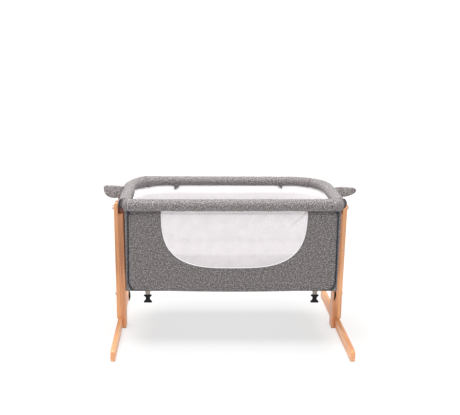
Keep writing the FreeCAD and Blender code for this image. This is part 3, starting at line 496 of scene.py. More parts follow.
def settle(piece, body, slot, *nodes):
    """Rides a piece on its body and hides the CAD nodes it stands for. slot is not used."""
    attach(piece, body)
    if nodes:
        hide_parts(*nodes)
    return piece


def bend_at_hinge(piece, slot, *nodes):
    """For fabric that runs from the basket's floor up the drop side."""
    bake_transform(piece)
    if nodes:
        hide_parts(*nodes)
    return piece


def wave(x, y, z, size, seed=0.0):
    """Smooth noise from -1 to 1 whose bumps are about size wide."""
    return noise.noise(Vector((x / size + seed, y / size - seed, z / size + seed * 0.7)))


def bell(distance, width):
    return exp(-(distance / width) ** 2)


def stitch_row(name, path, material, out=(0, 0, 0), length=3.2 * MM, gap=1.6 * MM, thick=0.35 * MM):
    """Short thread stitches along a path of points, each a slim raised lozenge."""
    path = np.asarray(path, float)
    run = run_along(path)
    vertices, faces = [], []
    place = gap
    while place + length < run[-1]:
        ends = [np.array([np.interp(t, run, path[:, k]) for k in range(3)])
                for t in (place, place + length)]
        along = Vector(ends[1] - ends[0]).normalized()
        side = along.orthogonal().normalized()
        other = along.cross(side)
        middle = Vector((ends[0] + ends[1]) / 2) + Vector(out) * thick
        first = len(vertices)
        vertices += [Vector(ends[0]), Vector(ends[1])]
        vertices += [middle + (side * cos(a) + other * sin(a)) * thick
                     for a in (0, pi / 2, pi, 3 * pi / 2)]
        for k in range(4):
            faces.append((first, first + 2 + (k + 1) % 4, first + 2 + k))
            faces.append((first + 1, first + 2 + k, first + 2 + (k + 1) % 4))
        place += length + gap
    return new_piece(name, vertices, faces, material)


def cord_piece(name, path, radius, material, sides=10, closed=False):
    """A thin round cord along a path, for piping and welts."""
    path = [Vector(p) for p in path]
    count = len(path)
    rows = []
    normal = None
    for i, point in enumerate(path):
        before = path[(i - 1) % count] if closed or i else path[0]
        after = path[(i + 1) % count] if closed or i < count - 1 else path[-1]
        along = (after - before).normalized()
        normal = along.orthogonal() if normal is None else normal - along * normal.dot(along)
        normal.normalize()
        other = along.cross(normal)
        rows.append([point + (normal * cos(a) + other * sin(a)) * radius
                     for a in circle(sides)])
    if closed:
        rows.append(rows[0])
    return grid_piece(name, rows, material, wrap=True, capped=not closed)


def swell(piece, reach, pinned, pressure=4.0, frames=20):
    """Cloth simulation: the padding fills its cover, no point moving further than reach. pinned
    tells which vertices are held."""
    mesh = piece.data
    start = np.empty(len(mesh.vertices) * 3)
    mesh.vertices.foreach_get("co", start)
    start = start.reshape(-1, 3)
    group = piece.vertex_groups.new(name="held")
    group.add([i for i, co in enumerate(start) if pinned(co)], 1.0, "REPLACE")
    cloth = piece.modifiers.new("swell", "CLOTH")
    settings = cloth.settings
    settings.vertex_group_mass = "held"
    settings.use_pressure = True
    settings.uniform_pressure_force = pressure
    settings.effector_weights.gravity = 0.0
    settings.mass = 0.25
    settings.tension_stiffness = settings.compression_stiffness = 12.0
    settings.bending_stiffness = 0.4
    settings.quality = 5
    cloth.collision_settings.use_collision = False
    cloth.point_cache.frame_start = 1
    cloth.point_cache.frame_end = frames
    for step in range(1, frames + 1):
        bpy.context.scene.frame_set(step)
    graph = bpy.context.evaluated_depsgraph_get()
    swollen = piece.evaluated_get(graph).to_mesh()
    end = np.empty(len(swollen.vertices) * 3)
    swollen.vertices.foreach_get("co", end)
    move = end.reshape(-1, 3) - start
    far = np.linalg.norm(move, axis=1, keepdims=True)
    move *= np.minimum(1.0, reach / np.maximum(far, 1e-9))
    piece.modifiers.remove(cloth)
    piece.vertex_groups.clear()
    mesh.vertices.foreach_set("co", (start + move).ravel())
    mesh.update()
    bpy.context.scene.frame_set(1)
    return piece


# ---------------------------------------------------------------- paths round the basket
def plan_path(half, back, corner, front, section, step=4 * MM):
    """Points in plan with their outward direction, along the left, back or right stretch of an
    outline with two rounded back corners."""
    cx, cy = half - corner, back - corner
    seam = 180 - SEAM_DEG
    if section == "back":
        path = [on_corner(-cx, cy, corner, a) for a in np.linspace(seam, 90, 18)]
        path += [((x, back), (0, 1)) for x in np.arange(-cx + step, cx, step)]
        return path + [on_corner(cx, cy, corner, a) for a in np.linspace(90, SEAM_DEG, 18)]
    path = [((-half, y), (-1, 0)) for y in np.arange(front, cy, step)]
    path += [on_corner(-cx, cy, corner, a) for a in np.linspace(180, seam, 24)]
    if section == "right":
        path = [((-x, y), (-nx, ny)) for (x, y), (nx, ny) in path][::-1]
    return path


def on_corner(cx, cy, radius, turn):
    """Point and outward direction on a round corner, turn in degrees."""
    angle = radians(turn)
    normal = (cos(angle), sin(angle))
    return (cx + radius * normal[0], cy + radius * normal[1]), normal


def path_lengths(path):
    return run_along(np.array([p for p, _ in path]))


def whole_outline(half, back, corner, front, step=4 * MM):
    """Left, back and right stretches in one."""
    left, rear, right = (plan_path(half, back, corner, front, section, step)
                         for section in ("left", "back", "right"))
    return left + rear[1:] + right[1:]


# ---------------------------------------------------------------- padded rails
def rail_radius(s, total, angle, base, seed, dome_start, dome_end, seam_at=-90):
    """Radius of a padded cover: puckered where it is sewn, softly rippled between."""
    ends = ([] if dome_start else [s]) + ([] if dome_end else [total - s])
    pinch = sum(bell(d, 4 * MM) for d in ends) * 3.4 * MM
    pucker = sum(bell(d - 10 * MM, 9 * MM) for d in ends) * 1.3 * MM * sin(11 * angle + seed)
    around = (cos(angle), sin(angle))
    ripple = wave(s, around[0] * 14 * MM, around[1] * 14 * MM, 22 * MM, seed) * 0.75 * MM
    fine = wave(s, around[0] * 24 * MM, around[1] * 24 * MM, 8 * MM, seed + 3) * 0.22 * MM
    sewn = bell(remainder(angle - radians(seam_at), 2 * pi) * base, 2.4 * MM) * 1.8 * MM
    return base - pinch + pucker + ripple + fine - sewn


def rail_rows(path, base, seed, dome_start=False, dome_end=False, seam_at=-90, sides=56):
    """Rings of a padded tube along a plan path. angle 0 points outwards, 90 degrees up."""
    total = path_lengths(path)
    rows = []
    for ((x, y), (nx, ny)), s in zip(path, total):
        ring = []
        for angle in circle(sides):
            radius = rail_radius(s, total[-1], angle, base, seed, dome_start, dome_end, seam_at)
            out, up = radius * cos(angle), radius * sin(angle)
            ring.append((x + nx * out, y + ny * out, RAIL_Z + up))
        rows.append(ring)
    return rows


def closing_rings(row, centre, outward, depth, steps=6, closed_at=0.04):
    """Rings that round off the end of a tube, from its last ring to a small one at the middle."""
    row, centre, outward = np.array(row), np.array(centre), np.array(outward)
    rings = []
    for k in range(1, steps + 1):
        angle = pi / 2 * k / steps
        share = max(cos(angle), closed_at)
        rings.append(centre + (row - centre) * share + outward * depth * sin(angle))
    return rings


def leaning(path, section):
    """The covers sit a little off their tubes: the left side's outwards, most at the back
    corner, the right side's inwards, most where the bend starts, and the back's with them."""
    run = path_lengths(path)
    moved = []
    for ((x, y), (nx, ny)), s in zip(path, run):
        if section == "back":
            shift = 4.5 * MM * bell(s, 70 * MM) - 4 * MM * bell(run[-1] - s, 60 * MM)
        elif section == "left":
            shift = 3 * MM + 1.5 * MM * bell(run[-1] - s, 60 * MM)
        else:
            shift = -2.5 * MM - 1.5 * MM * bell(s, 30 * MM)
            shift -= 5 * MM * bell(y - 120 * MM, 70 * MM) * min(1, s / (60 * MM))
        moved.append(((x + nx * shift, y + ny * shift), (nx, ny)))
    return moved


def scaled(row, x, y, across, up):
    """A ring of a cover made larger or smaller about its middle."""
    return [(x + (a - x) * across, y + (b - y) * across, RAIL_Z + (c - RAIL_Z) * up) for a, b, c in row]


def fatten_corner(rows, path):
    """The left back corner's padding stands a little higher, where the two covers are sewn."""
    (seam_x, seam_y), _ = on_corner(-CORNER_X, CORNER_Y, RAIL_CORNER, 180 - SEAM_DEG)
    for row, ((x, y), _) in zip(rows, path):
        fuller = 1 + 4.6 * MM / RAIL_R * bell(hypot(x - seam_x, y - seam_y), 45 * MM)
        row[:] = scaled(row, x, y, fuller, fuller)


def raised(rows, path):
    """The back rail sits a little higher towards the left, and the left rail rises to meet it."""
    for row, ((x, y), _) in zip(rows, path):
        lift = 3.2 * MM * clamp(0.62 - x / (2 * RAIL_HALF)) * clamp((y + 100 * MM) / (250 * MM))
        row[:] = [(a, b, c + lift) for a, b, c in row]


def rail_cover(name, rows, body, reach, pinned):
    """One padded cover, filled out by its padding."""
    piece = grid_piece(f"{name}_rail_cover_padded", rows, GREY_RAIL_PAINTED_LIGHT, wrap=True, capped=True)
    swell(piece, reach, pinned)
    settle(piece, body, "grey_fabric", f"{name}_rail_cover")


def held_on_rail(co, section):
    """The sewn line under the rail and the ends of a cover."""
    if section != "back" and co[1] < RAIL_FRONT + 12 * MM:
        return True
    x = abs(co[0])
    turn = degrees(atan2(co[1] - CORNER_Y, x - CORNER_X)) if x > CORNER_X else 90.0
    return co[2] < RAIL_Z - RAIL_R + 1.5 * MM or abs(turn - SEAM_DEG) < 2.5


def side_rail(section, seed):
    path = leaning(plan_path(RAIL_HALF, RAIL_BACK, RAIL_CORNER, COVER_FRONT, section), section)
    rows = rail_rows(path, RAIL_R, seed, dome_start=section == "left", dome_end=section == "right")
    for row, ((x, y), _) in zip(rows, path):
        fuller = 1 + SIDE_FILL / RAIL_R * clamp((190 * MM - y) / (90 * MM))
        row[:] = scaled(row, x, y, fuller, 0.5 + fuller / 2)
    fatten_corner(rows, path)
    raised(rows, path)
    end = 0 if section == "left" else -1
    dome = closing_rings(rows[end], (path[end][0][0], COVER_FRONT, RAIL_Z), (0, -1, 0), 4.5 * MM)
    rows = dome[::-1] + rows if section == "left" else rows + dome
    rail_cover(section, rows, "basket", 1.2 * MM, lambda co: held_on_rail(co, section))


def back_rail():
    path = leaning(plan_path(RAIL_HALF, RAIL_BACK, RAIL_CORNER, 0, "back"), "back")
    rows = rail_rows(path, RAIL_R, 7.3)
    fatten_corner(rows, path)
    raised(rows, path)
    rail_cover("back", rows, "basket", 1.2 * MM, lambda co: held_on_rail(co, "back"))


def front_rail():
    """The fatter rail of the drop side, with domed ends and a welt round each."""
    dome = 15 * MM
    xs = np.arange(-FRONT_HALF + dome, FRONT_HALF - dome + 1e-6, 4 * MM)
    path = [((x, FRONT_Y), (0, -1)) for x in xs]
    rows = rail_rows(path, FRONT_R, 11.9, dome_start=True, dome_end=True, seam_at=-64)
    left, right = (closing_rings(rows[end], (xs[end], FRONT_Y, RAIL_Z), (out, 0, 0), dome)
                   for end, out in ((0, -1), (-1, 1)))
    rail_cover("front", left[::-1] + rows + right, "drop_side", 1.0 * MM,
               lambda co: co[2] < RAIL_Z - FRONT_R + 1.5 * MM or abs(co[0]) > FRONT_HALF - dome)
    radius = FRONT_R + 0.2 * MM
    for side, name in ((-1, "left"), (1, "right")):
        x = side * (FRONT_HALF - dome - 1 * MM)
        ring = [(x, FRONT_Y + radius * cos(a), RAIL_Z + radius * sin(a)) for a in circle(60)]
        settle(cord_piece(f"{name}_rail_end_seam", ring, 0.8 * MM, GREY_RAIL_PAINTED_LIGHT, 8, closed=True),
               "drop_side", "grey_fabric")


def corner_piping(side, name):
    """Navy zip piping round the outer and lower part of a side rail's front end, running on under the front
    rail to the top of the zip.
    It is partly real navy binding and partly painted shade: its dark line also stands for the shadow in the
    gap under the front rail's end."""
    y, radius = RAIL_FRONT - 0.2 * MM, RAIL_R + 1.2 * MM
    arc = [(side * (RAIL_HALF + radius * cos(a)), y, RAIL_Z + radius * sin(a))
           for a in np.radians(np.linspace(56, -84, 44))]
    end = np.array((side * (ZIP_TOP_X + 1 * MM), PANEL_Y + 6 * MM, PANEL_TOP - 5 * MM))
    tail = [between(np.array(arc[-1]), end, k) for k in np.linspace(0, 1, 10)[1:]]
    settle(cord_piece(f"{name}_corner_piping", arc + tail, 2.0 * MM, NAVY_AND_PAINTED_SHADE), "basket", "zip_tape")


# ---------------------------------------------------------------- fabric walls
def zip_x(z):
    """Half-width of the zip's middle line at a height: almost upright, then slanting inwards."""
    if z > ZIP_LOW_Z:
        share = (z - ZIP_LOW_Z) / (PANEL_TOP + 2 * MM - ZIP_LOW_Z)
        return between(ZIP_LOW_X, ZIP_TOP_X, min(share, 1.0))
    share = (ZIP_LOW_Z - z) / (ZIP_LOW_Z - ZIP_END_Z)
    return between(ZIP_LOW_X, ZIP_END_X, min(share, 1.0))


def outer_wall(section, seed):
    """Grey fabric of one end or of the back, from the floor's edge to the rail's underside."""
    edge = RAIL_HALF - 0.8 * MM
    lip_end = edge - 7 * MM
    front = PANEL_Y + 9 * MM
    path = plan_path(edge, RAIL_BACK - 0.8 * MM, RAIL_CORNER, front, section)
    if section != "back":
        side = -1 if section == "left" else 1
        turn = [((side * (edge - 6 * MM + 6 * MM * cos(a)), front - 6 * MM * sin(a)),
                 (side * cos(a), -sin(a))) for a in np.linspace(pi / 2, 0.2, 6)]
        lip = [((side * x, front - 6 * MM), (0, -1)) for x in np.linspace(ZIP_LOW_X, lip_end, 4)]
        path = lip + turn + path if section == "left" else path + (lip + turn)[::-1]
    total = path_lengths(path)
    top = RAIL_Z - RAIL_R + 2.5 * MM
    heights = np.concatenate([[WALL_LOW, WALL_LOW + 1 * MM], np.linspace(WALL_LOW + 4 * MM, top, 64)])
    rows = []
    for ((x, y), (nx, ny)), s in zip(path, total):
        column = []
        for z in heights:
            level = (z - WALL_LOW) / (top - WALL_LOW)
            free = sin(pi * clamp(level)) ** 0.7
            free *= min(1.0, s / (40 * MM), (total[-1] - s) / (40 * MM))
            out = wave(x, y, z, 95 * MM, seed) * 2.6 * MM * free
            out += wave(x * 2.2, y * 2.2, z * 0.6, 45 * MM, seed + 5) * 1.1 * MM * free
            out -= bell(z - WALL_LOW - HEM_STITCHES, 1.6 * MM) * 0.9 * MM
            to_seam = {"left": total[-1] - s, "back": min(s, total[-1] - s), "right": s}[section]
            out -= bell(to_seam, 3 * MM) * 1.2 * MM
            if section != "back" and nx == 0 and abs(x) < edge - 8 * MM:
                share = (lip_end - abs(x)) / (lip_end - ZIP_LOW_X)
                column.append((side * between(lip_end, zip_x(z) + ZIP_GAP, share), y - out, z))
            else:
                column.append((x + nx * out, y + ny * out, z))
        rows.append(column)
    node = "back_panel" if section == "back" else f"{section}_end_panel"
    name = f"{node}_fabric"
    piece = sheet_piece(name, rows, GREY, 1.8 * MM)
    hem = [(x + nx * 0.9 * MM, y + ny * 0.9 * MM, WALL_LOW + HEM_STITCHES) for (x, y), (nx, ny) in path]
    settle(stitch_row(f"{name}_hem_stitches", hem, THREAD), "basket", "grey_fabric")
    settle(piece, "basket", "grey_fabric", node)


def seam_welt(side, name):
    """Upright corner seam between an end's fabric and the back's."""
    (x, y), _ = on_corner(CORNER_X, CORNER_Y, RAIL_CORNER + 0.4 * MM, SEAM_DEG)
    line = [(side * x, y, z) for z in np.arange(WALL_LOW, RAIL_Z - RAIL_R, 4 * MM)]
    settle(cord_piece(f"{name}_corner_welt", line, 1.1 * MM, GREY, 8), "basket", "grey_fabric")


def floor_fabric():
    """Fabric under the base boards, slack between its edges."""
    inset = 2.5 * MM
    outline = whole_outline(RAIL_HALF - inset, RAIL_BACK - inset, RAIL_CORNER - inset,
                            PANEL_Y + 4 * MM, 8 * MM)
    rim = [p for p, _ in outline]
    last, first = rim[-1], rim[0]
    count = 60
    rim += [(last[0] + (first[0] - last[0]) * k / count, last[1]) for k in range(1, count)]
    rows = []
    for share in np.linspace(0.02, 1.0, 30):
        sag = 2.2 * MM * (1 - share ** 2)
        loose = 0.8 * MM * (1 - share ** 4)
        level = WALL_LOW + 0.8 * MM - sag
        rows.append([(x * share, y * share + 4 * MM * (1 - share),
                      level + wave(x * share, y * share, 0, 80 * MM) * loose) for x, y in rim])
    piece = sheet_piece("bottom_panel_fabric", rows, GREY, 1.2 * MM, offset=1.0, wrap=True, flat=(0, 1))
    settle(piece, "basket", "grey_fabric", "bottom_panel")


# ---------------------------------------------------------------- drop side
def window_point(turn, grow=0.0):
    """A point of the window's outline. turn goes from 0 at the right to 1 at the left."""
    angle = pi * turn
    c, s = cos(angle), max(sin(angle), 0.0)
    x = copysign(abs(c) ** (2 / WINDOW_POWER), c) * (WINDOW_HALF + grow) + WINDOW_SHIFT
    return x, PANEL_TOP + 4 * MM - s ** (2 / WINDOW_POWER) * (PANEL_TOP + 4 * MM - WINDOW_LOW + grow)


def hem_z(x):
    share = min(abs(x) / ZIP_END_X, 1.0)
    return between(HEM_MIDDLE_Z, HEM_END_Z, share ** 2)


def panel_edge(turn, inset=ZIP_GAP):
    """A point of the front fabric's outer edge, matched to the window's turn."""
    side = 1 if turn < 0.5 else -1
    share = turn if turn < 0.5 else 1 - turn
    side_end, slant_end = 0.24, 0.285
    top_x, low_x, end_x = ZIP_TOP_X - inset, ZIP_LOW_X - inset, ZIP_END_X - inset
    top = PANEL_TOP + 4 * MM
    if share < side_end:
        part = share / side_end
        return side * between(top_x, low_x, part), between(top, ZIP_LOW_Z, part)
    if share < slant_end:
        part = (share - side_end) / (slant_end - side_end)
        return side * between(low_x, end_x, part), between(ZIP_LOW_Z, hem_z(end_x), part)
    x = side * end_x * (1 - (share - slant_end) / (0.5 - slant_end))
    return x, hem_z(x)


def tuck(z):
    """How far the front goes back as it runs in under its rail."""
    return 7 * MM * clamp((z - (PANEL_TOP - 12 * MM)) / (9 * MM)) ** 2


def panel_depth(x, z, from_edge, from_window):
    """How far the front fabric stands out from its plane."""
    free = min(from_edge, from_window, 30 * MM) / (30 * MM)
    out = wave(x, 0, z, 110 * MM, 2.0) * 1.8 * MM * free
    out += wave(x * 0.7, 0, z * 1.9, 38 * MM, 9.0) * 0.7 * MM * free
    out += 0.9 * MM * bell(from_edge - 3 * MM, 3.5 * MM) - 1.0 * MM * bell(from_edge - 8.5 * MM, 1.5 * MM)
    out += 0.8 * MM * bell(from_window - 2 * MM, 3 * MM) - 0.8 * MM * bell(from_window - 6.5 * MM, 1.4 * MM)
    return out - tuck(z)


def front_fabric():
    """Grey front with its D-shaped window, in one piece down to the hem under the basket."""
    turns, rings = 260, 30
    rows = []
    edges, windows = [], []
    for i in range(turns + 1):
        turn = i / turns
        inner, outer = np.array(window_point(turn)), np.array(panel_edge(turn))
        reach = np.linalg.norm(outer - inner)
        row = []
        for k in range(rings + 1):
            share = k / rings
            x, z = between(inner, outer, share)
            out = panel_depth(x, z, reach * (1 - share), reach * share)
            row.append((x, PANEL_Y - out + 0.4 * MM, z))
        rows.append(row)
        direction = (outer - inner) / reach
        for kept, start in ((windows, inner + direction * 6.5 * MM), (edges, outer - direction * 8.5 * MM)):
            kept.append((start[0], PANEL_Y - 0.5 * MM, start[1]))
    piece = sheet_piece("front_panel_fabric", rows, GREY, 1.6 * MM, flat=(0, 2))
    bend_at_hinge(piece, "grey_fabric", "front_panel")
    bend_at_hinge(stitch_row("front_edge_stitches", edges, THREAD, (0, -1, 0)), "grey_fabric")
    settle(stitch_row("window_stitches", windows, THREAD, (0, -1, 0)), "drop_side", "grey_fabric")


def net_window():
    """White net behind the window, with a slight fold in its upper right corner, the doubled
    white edge along the outline and a hem along the top."""
    top = PANEL_TOP + 3 * MM
    drop = top - (WINDOW_LOW - MESH_MARGIN)
    y = PANEL_Y + 2.6 * MM
    rows = []
    for share in np.linspace(0, 0.9995, 110):
        half = (WINDOW_HALF + MESH_MARGIN) * (1 - share ** WINDOW_POWER) ** (1 / WINDOW_POWER)
        z = top - share * drop
        row = []
        for x in np.linspace(WINDOW_SHIFT - half, WINDOW_SHIFT + half, 220):
            along = (WINDOW_HALF - x) - (PANEL_TOP - z)
            down = (WINDOW_HALF - x + PANEL_TOP - z) / 2
            fold = bell(along, 3.5 * MM) * 7 * MM * max(0.0, 1 - down / (95 * MM)) if down > 0 else 0.0
            row.append((x, y + tuck(z) + fold + wave(x, 0, z, 120 * MM, 4.0) * 0.8 * MM, z))
        rows.append(row)
    piece = grid_piece("mesh_window_net", rows, NET, flat=(0, 2))
    settle(piece, "drop_side", "mesh", "mesh_window")
    rows = []
    for turn in np.linspace(0, 1, 220):
        inner, outer = np.array(window_point(turn, -3.6 * MM)), np.array(window_point(turn, 4 * MM))
        across = [(*between(inner, outer, k), sin(pi * k)) for k in np.linspace(0, 1, 7)]
        rows.append([(x, y + tuck(z) - 0.7 * MM - 0.5 * MM * full, z) for x, z, full in across])
    settle(sheet_piece("window_binding", rows, BINDING, 0.8 * MM), "drop_side", "mesh")
    line = [(x, y + tuck(z) - 1.5 * MM, z)
            for x, z in (window_point(t, -1.2 * MM) for t in np.linspace(0.01, 0.99, 300))]
    settle(stitch_row("binding_stitches", line, WHITE_THREAD, (0, -1, 0)), "drop_side", "mesh")
    heights = [(PANEL_TOP - 1 * MM + 5 * MM * k, sin(pi * k)) for k in np.linspace(0, 1, 5)]
    head = [[(x, y + tuck(z) - 0.8 * MM - 0.4 * MM * full, z) for z, full in heights]
            for x in np.linspace(WINDOW_SHIFT - WINDOW_HALF, WINDOW_SHIFT + WINDOW_HALF, 140)]
    settle(sheet_piece("window_top_hem", head, BINDING, 0.8 * MM), "drop_side", "mesh")


def zip_line(side, shift):
    """Points down one zip, shifted outwards from its middle line."""
    corners = np.array([(ZIP_TOP_X + shift, PANEL_TOP + 2 * MM), (ZIP_LOW_X + shift, ZIP_LOW_Z),
                        (ZIP_END_X + shift, ZIP_END_Z)])
    down = np.linspace(corners[0], corners[1], 110)
    slant = np.linspace(corners[1], corners[2], 14)[1:]
    return [(side * x, z) for x, z in np.concatenate([down, slant])]


def zip_half(name, side, near, far, tooth_at):
    """Half of a zip: a strip of tape, and a row of small teeth along its edge."""
    y = PANEL_Y + 0.2 * MM
    inner, outer = zip_line(side, near), zip_line(side, far)
    rows = [[(between(a[0], b[0], k), y - 0.4 * MM * sin(pi * k), between(a[1], b[1], k))
             for k in np.linspace(0, 1, 5)] for a, b in zip(inner, outer)]
    tape = sheet_piece(f"{name}_tape", rows, TAPE, 0.9 * MM)
    line = np.array(zip_line(side, tooth_at))
    run = run_along(line)
    vertices, faces = [], []
    pitch, half_high, half_wide = 2.2 * MM, 0.7 * MM, 0.85 * MM
    for place in np.arange(pitch, run[-1], pitch):
        x, z = (np.interp(place, run, line[:, k]) for k in (0, 1))
        first = len(vertices)
        for depth, shrink in ((0.6 * MM, 1.0), (-0.6 * MM, 1.0), (-1.2 * MM, 0.55)):
            vertices += [(x + a * half_wide * shrink, y + depth, z + b * half_high * shrink)
                         for a, b in ((-1, -1), (1, -1), (1, 1), (-1, 1))]
        for level in (0, 4):
            faces += [[first + level + k, first + level + (k + 1) % 4, first + level + 4 + (k + 1) % 4,
                       first + level + 4 + k] for k in range(4)]
        faces.append([first + 8, first + 9, first + 10, first + 11])
        faces.append([first + 3, first + 2, first + 1, first])
    teeth = new_piece(f"{name}_teeth", vertices, faces, TEETH)
    return tape, teeth


def zips():
    """Four half zips. The left ones stand for the CAD nodes, which hold both sides."""
    for side, name in ((-1, "left"), (1, "right")):
        nodes = ("side_zip_chains", "front_zip_chains") if side < 0 else ()
        for piece in zip_half(f"{name}_side_zip", side, 0.3 * MM, 4.2 * MM, 1.0 * MM):
            settle(piece, "basket", "zip_tape", *nodes[:1])
        for piece in zip_half(f"{name}_front_zip", side, -5.5 * MM, -0.3 * MM, -1.0 * MM):
            bend_at_hinge(piece, "zip_tape", *nodes[1:])


# ---------------------------------------------------------------- inside
def lining():
    """White inner skin of the ends and the back. It curls out under the back rail, and turns
    outwards to the zips at its two front edges."""
    half, back = lining_high[0], lining_high[1]
    corner = LINING_CORNER
    front = lining_low[1] + 1 * MM
    path = whole_outline(half, back, corner, front, 5 * MM)
    lip = [(x, front - 5 * MM * sin((x - half) / LINING_LIP[-1] * pi / 2)) for x in half + LINING_LIP]
    path = [((-x, y), (0, -1)) for x, y in lip[::-1]] + path + [((x, y), (0, -1)) for x, y in lip]
    total = path_lengths(path)
    low, top = pad_low[2] + 8 * MM, RAIL_Z - 9 * MM
    (seam_x, seam_y), _ = on_corner(half - corner, back - corner, corner, SEAM_DEG)
    rows = []
    for ((x, y), (nx, ny)), s in zip(path, total):
        clear = 0.17 + 0.83 * clamp((y - 95 * MM) / (40 * MM)) if abs(x) <= half else 0.0
        column = []
        for z in np.linspace(low, top, 60):
            level = (z - low) / (top - low)
            flare = max(0.0, (level - 0.88) / 0.12) ** 1.5 * clear
            out = 15 * MM * flare - 0.8 * MM + 8 * MM * flare * bell(hypot(x + seam_x, y - seam_y), 90 * MM)
            free = sin(pi * level) ** 0.8 * (abs(x) <= half)
            out -= (0.6 + wave(x, y, z, 120 * MM, 8.0)) * 1.8 * MM * free
            out += wave(x * 2.4, y * 2.4, z * 0.5, 60 * MM, 6.0) * 1.0 * MM * free
            column.append((x + nx * out, y + ny * out, z))
        rows.append(column)
    piece = sheet_piece("inner_lining_fabric", rows, WHITE, 1.0 * MM)
    settle(piece, "basket", "white_lining", "inner_lining")


def front_curb():
    """Low white wall in front of the mattress, with a hem, its top edge slightly slack. Its cloth is greyed
    as painted shade, for the shade under the front rail.
    """
    half = curb_high[0] - 0.8 * MM
    y = curb_low[1] + 0.8 * MM
    returns = 10 * MM
    plan = [(-half, y + returns - k) for k in np.linspace(0, returns, 4)][:-1]
    plan += [(x, y) for x in np.linspace(-half, half, 190)]
    plan += [(half, y + k) for k in np.linspace(0, returns, 4)][1:]
    low = pad_low[2] - 4 * MM
    rows = []
    for x, depth in plan:
        top = curb_high[2] + 2 * MM - 2.5 * MM * (1 - (x / half) ** 2) + 4.5 * MM * max(0.0, x / half) ** 2
        column = []
        for share in np.linspace(0, 1, 26):
            z = between(low, top, share)
            out = wave(x, 0, z, 90 * MM, 5.5) * 1.2 * MM * share
            out -= 0.7 * MM * bell(z - top + 11 * MM, 1.5 * MM) - 0.5 * MM * bell(z - top + 5 * MM, 4 * MM)
            column.append((x, depth - (out if abs(x) < half - 1 * MM else 0.0), z))
        rows.append(column)
    piece = sheet_piece("front_lining_fabric", rows, CURB_PAINTED_SHADE, 1.4 * MM)
    settle(piece, "basket", "white_lining", "front_lining")


def mattress():
    """Thin crowned mattress with piped edges, stitched in diamonds."""
    inset = 3.5 * MM
    half, back, front = pad_high[0] - inset, pad_high[1] - inset, pad_low[1] + inset
    low, high = pad_low[2] + 1 * MM, pad_high[2] + 1.5 * MM
    outline = [p for p, _ in whole_outline(half, back, MATTRESS_CORNER, front + 12 * MM, 9 * MM)]
    turn = [(half - 12 * MM + 12 * MM * cos(a), front + 12 * MM - 12 * MM * sin(a))
            for a in np.linspace(0, pi / 2, 5)]
    outline += turn[1:] + [(x, front) for x in np.linspace(half - 20 * MM, -half + 20 * MM, 84)]
    outline += [(-x, y) for x, y in turn[:0:-1]]
    middle = np.array([0, (back + front) / 2])
    rim = np.array(outline)

    def ring(share, z):
        return [(*between(middle, p, share), z) for p in rim]

    rows = [ring(share, low) for share in np.linspace(0.02, 0.93, 30)]
    for angle in np.linspace(-pi / 2, pi / 2, 15):
        pull = 10 * MM * (1 - cos(angle))
        z = (low + high) / 2 + (high - low) / 2 * sin(angle)
        rows.append([(*(p + (middle - p) / np.linalg.norm(middle - p) * pull), z) for p in rim])
    rows += [ring(share, high + 4.0 * MM * (1 - share ** 4)) for share in np.linspace(0.97, 0.003, 90)]
    piece = grid_piece("mattress_padded", rows, PAD_PAINTED_SHADE, wrap=True, flat="box", capped=True)
    swell(piece, 3 * MM, lambda co: co[2] < low + 0.5 * MM)
    for vertex in piece.data.vertices:
        x, y, z = vertex.co
        if z > high - 2 * MM:
            across, along = x + QUILTING / 4, y - middle[1] - QUILTING / 4
            lines = [remainder(across + sign * along, QUILTING) / sqrt(2) for sign in (-1, 1)]
            vertex.co.z -= 3.2 * MM * max(bell(d, 6 * MM) for d in lines)
    settle(piece, "basket", "mattress_fabric", "mattress")
    for z, name in ((high - 1.5 * MM, "upper"), (low + 3 * MM, "lower")):
        settle(cord_piece(f"mattress_{name}_piping", ring(0.997, z), 1.7 * MM, PAD_PAINTED_SHADE, 8, closed=True),
               "basket", "mattress_fabric")


# ---------------------------------------------------------------- handles, tabs, straps
HANDLE_OUTLINES = {
    # side view in mm as (x, z), along the top edge to the tip and back below
    "left": ((428, 598), (470, 601), (503, 601.5), (506.5, 600), (506.8, 588), (504, 575),
             (496, 564), (484, 557), (469, 554), (455, 555), (440, 560), (428, 566)),
    "right": ((419, 592), (432, 595), (448, 595.5), (464, 594), (481, 592.5), (492, 592.5),
              (500, 590.5), (503.5, 585), (500, 577), (490, 570), (476, 564), (461, 560),
              (446, 559), (430, 561), (419, 566)),
}


def handle_outline(name, count=84):
    """The outline as an even, rounded run of points, with the sharper corners kept."""
    corners = np.array(HANDLE_OUTLINES[name]) * MM
    closed = np.concatenate([corners, corners[:1]])
    run = run_along(closed)
    even = np.linspace(0, run[-1], 4 * count, endpoint=False)
    points = np.stack([np.interp(even, run, closed[:, k]) for k in (0, 1)], axis=1)
    for _ in range(HANDLE_SMOOTHING[name]):
        points = (np.roll(points, 1, axis=0) + 2 * points + np.roll(points, -1, axis=0)) / 4
    return points[::4]


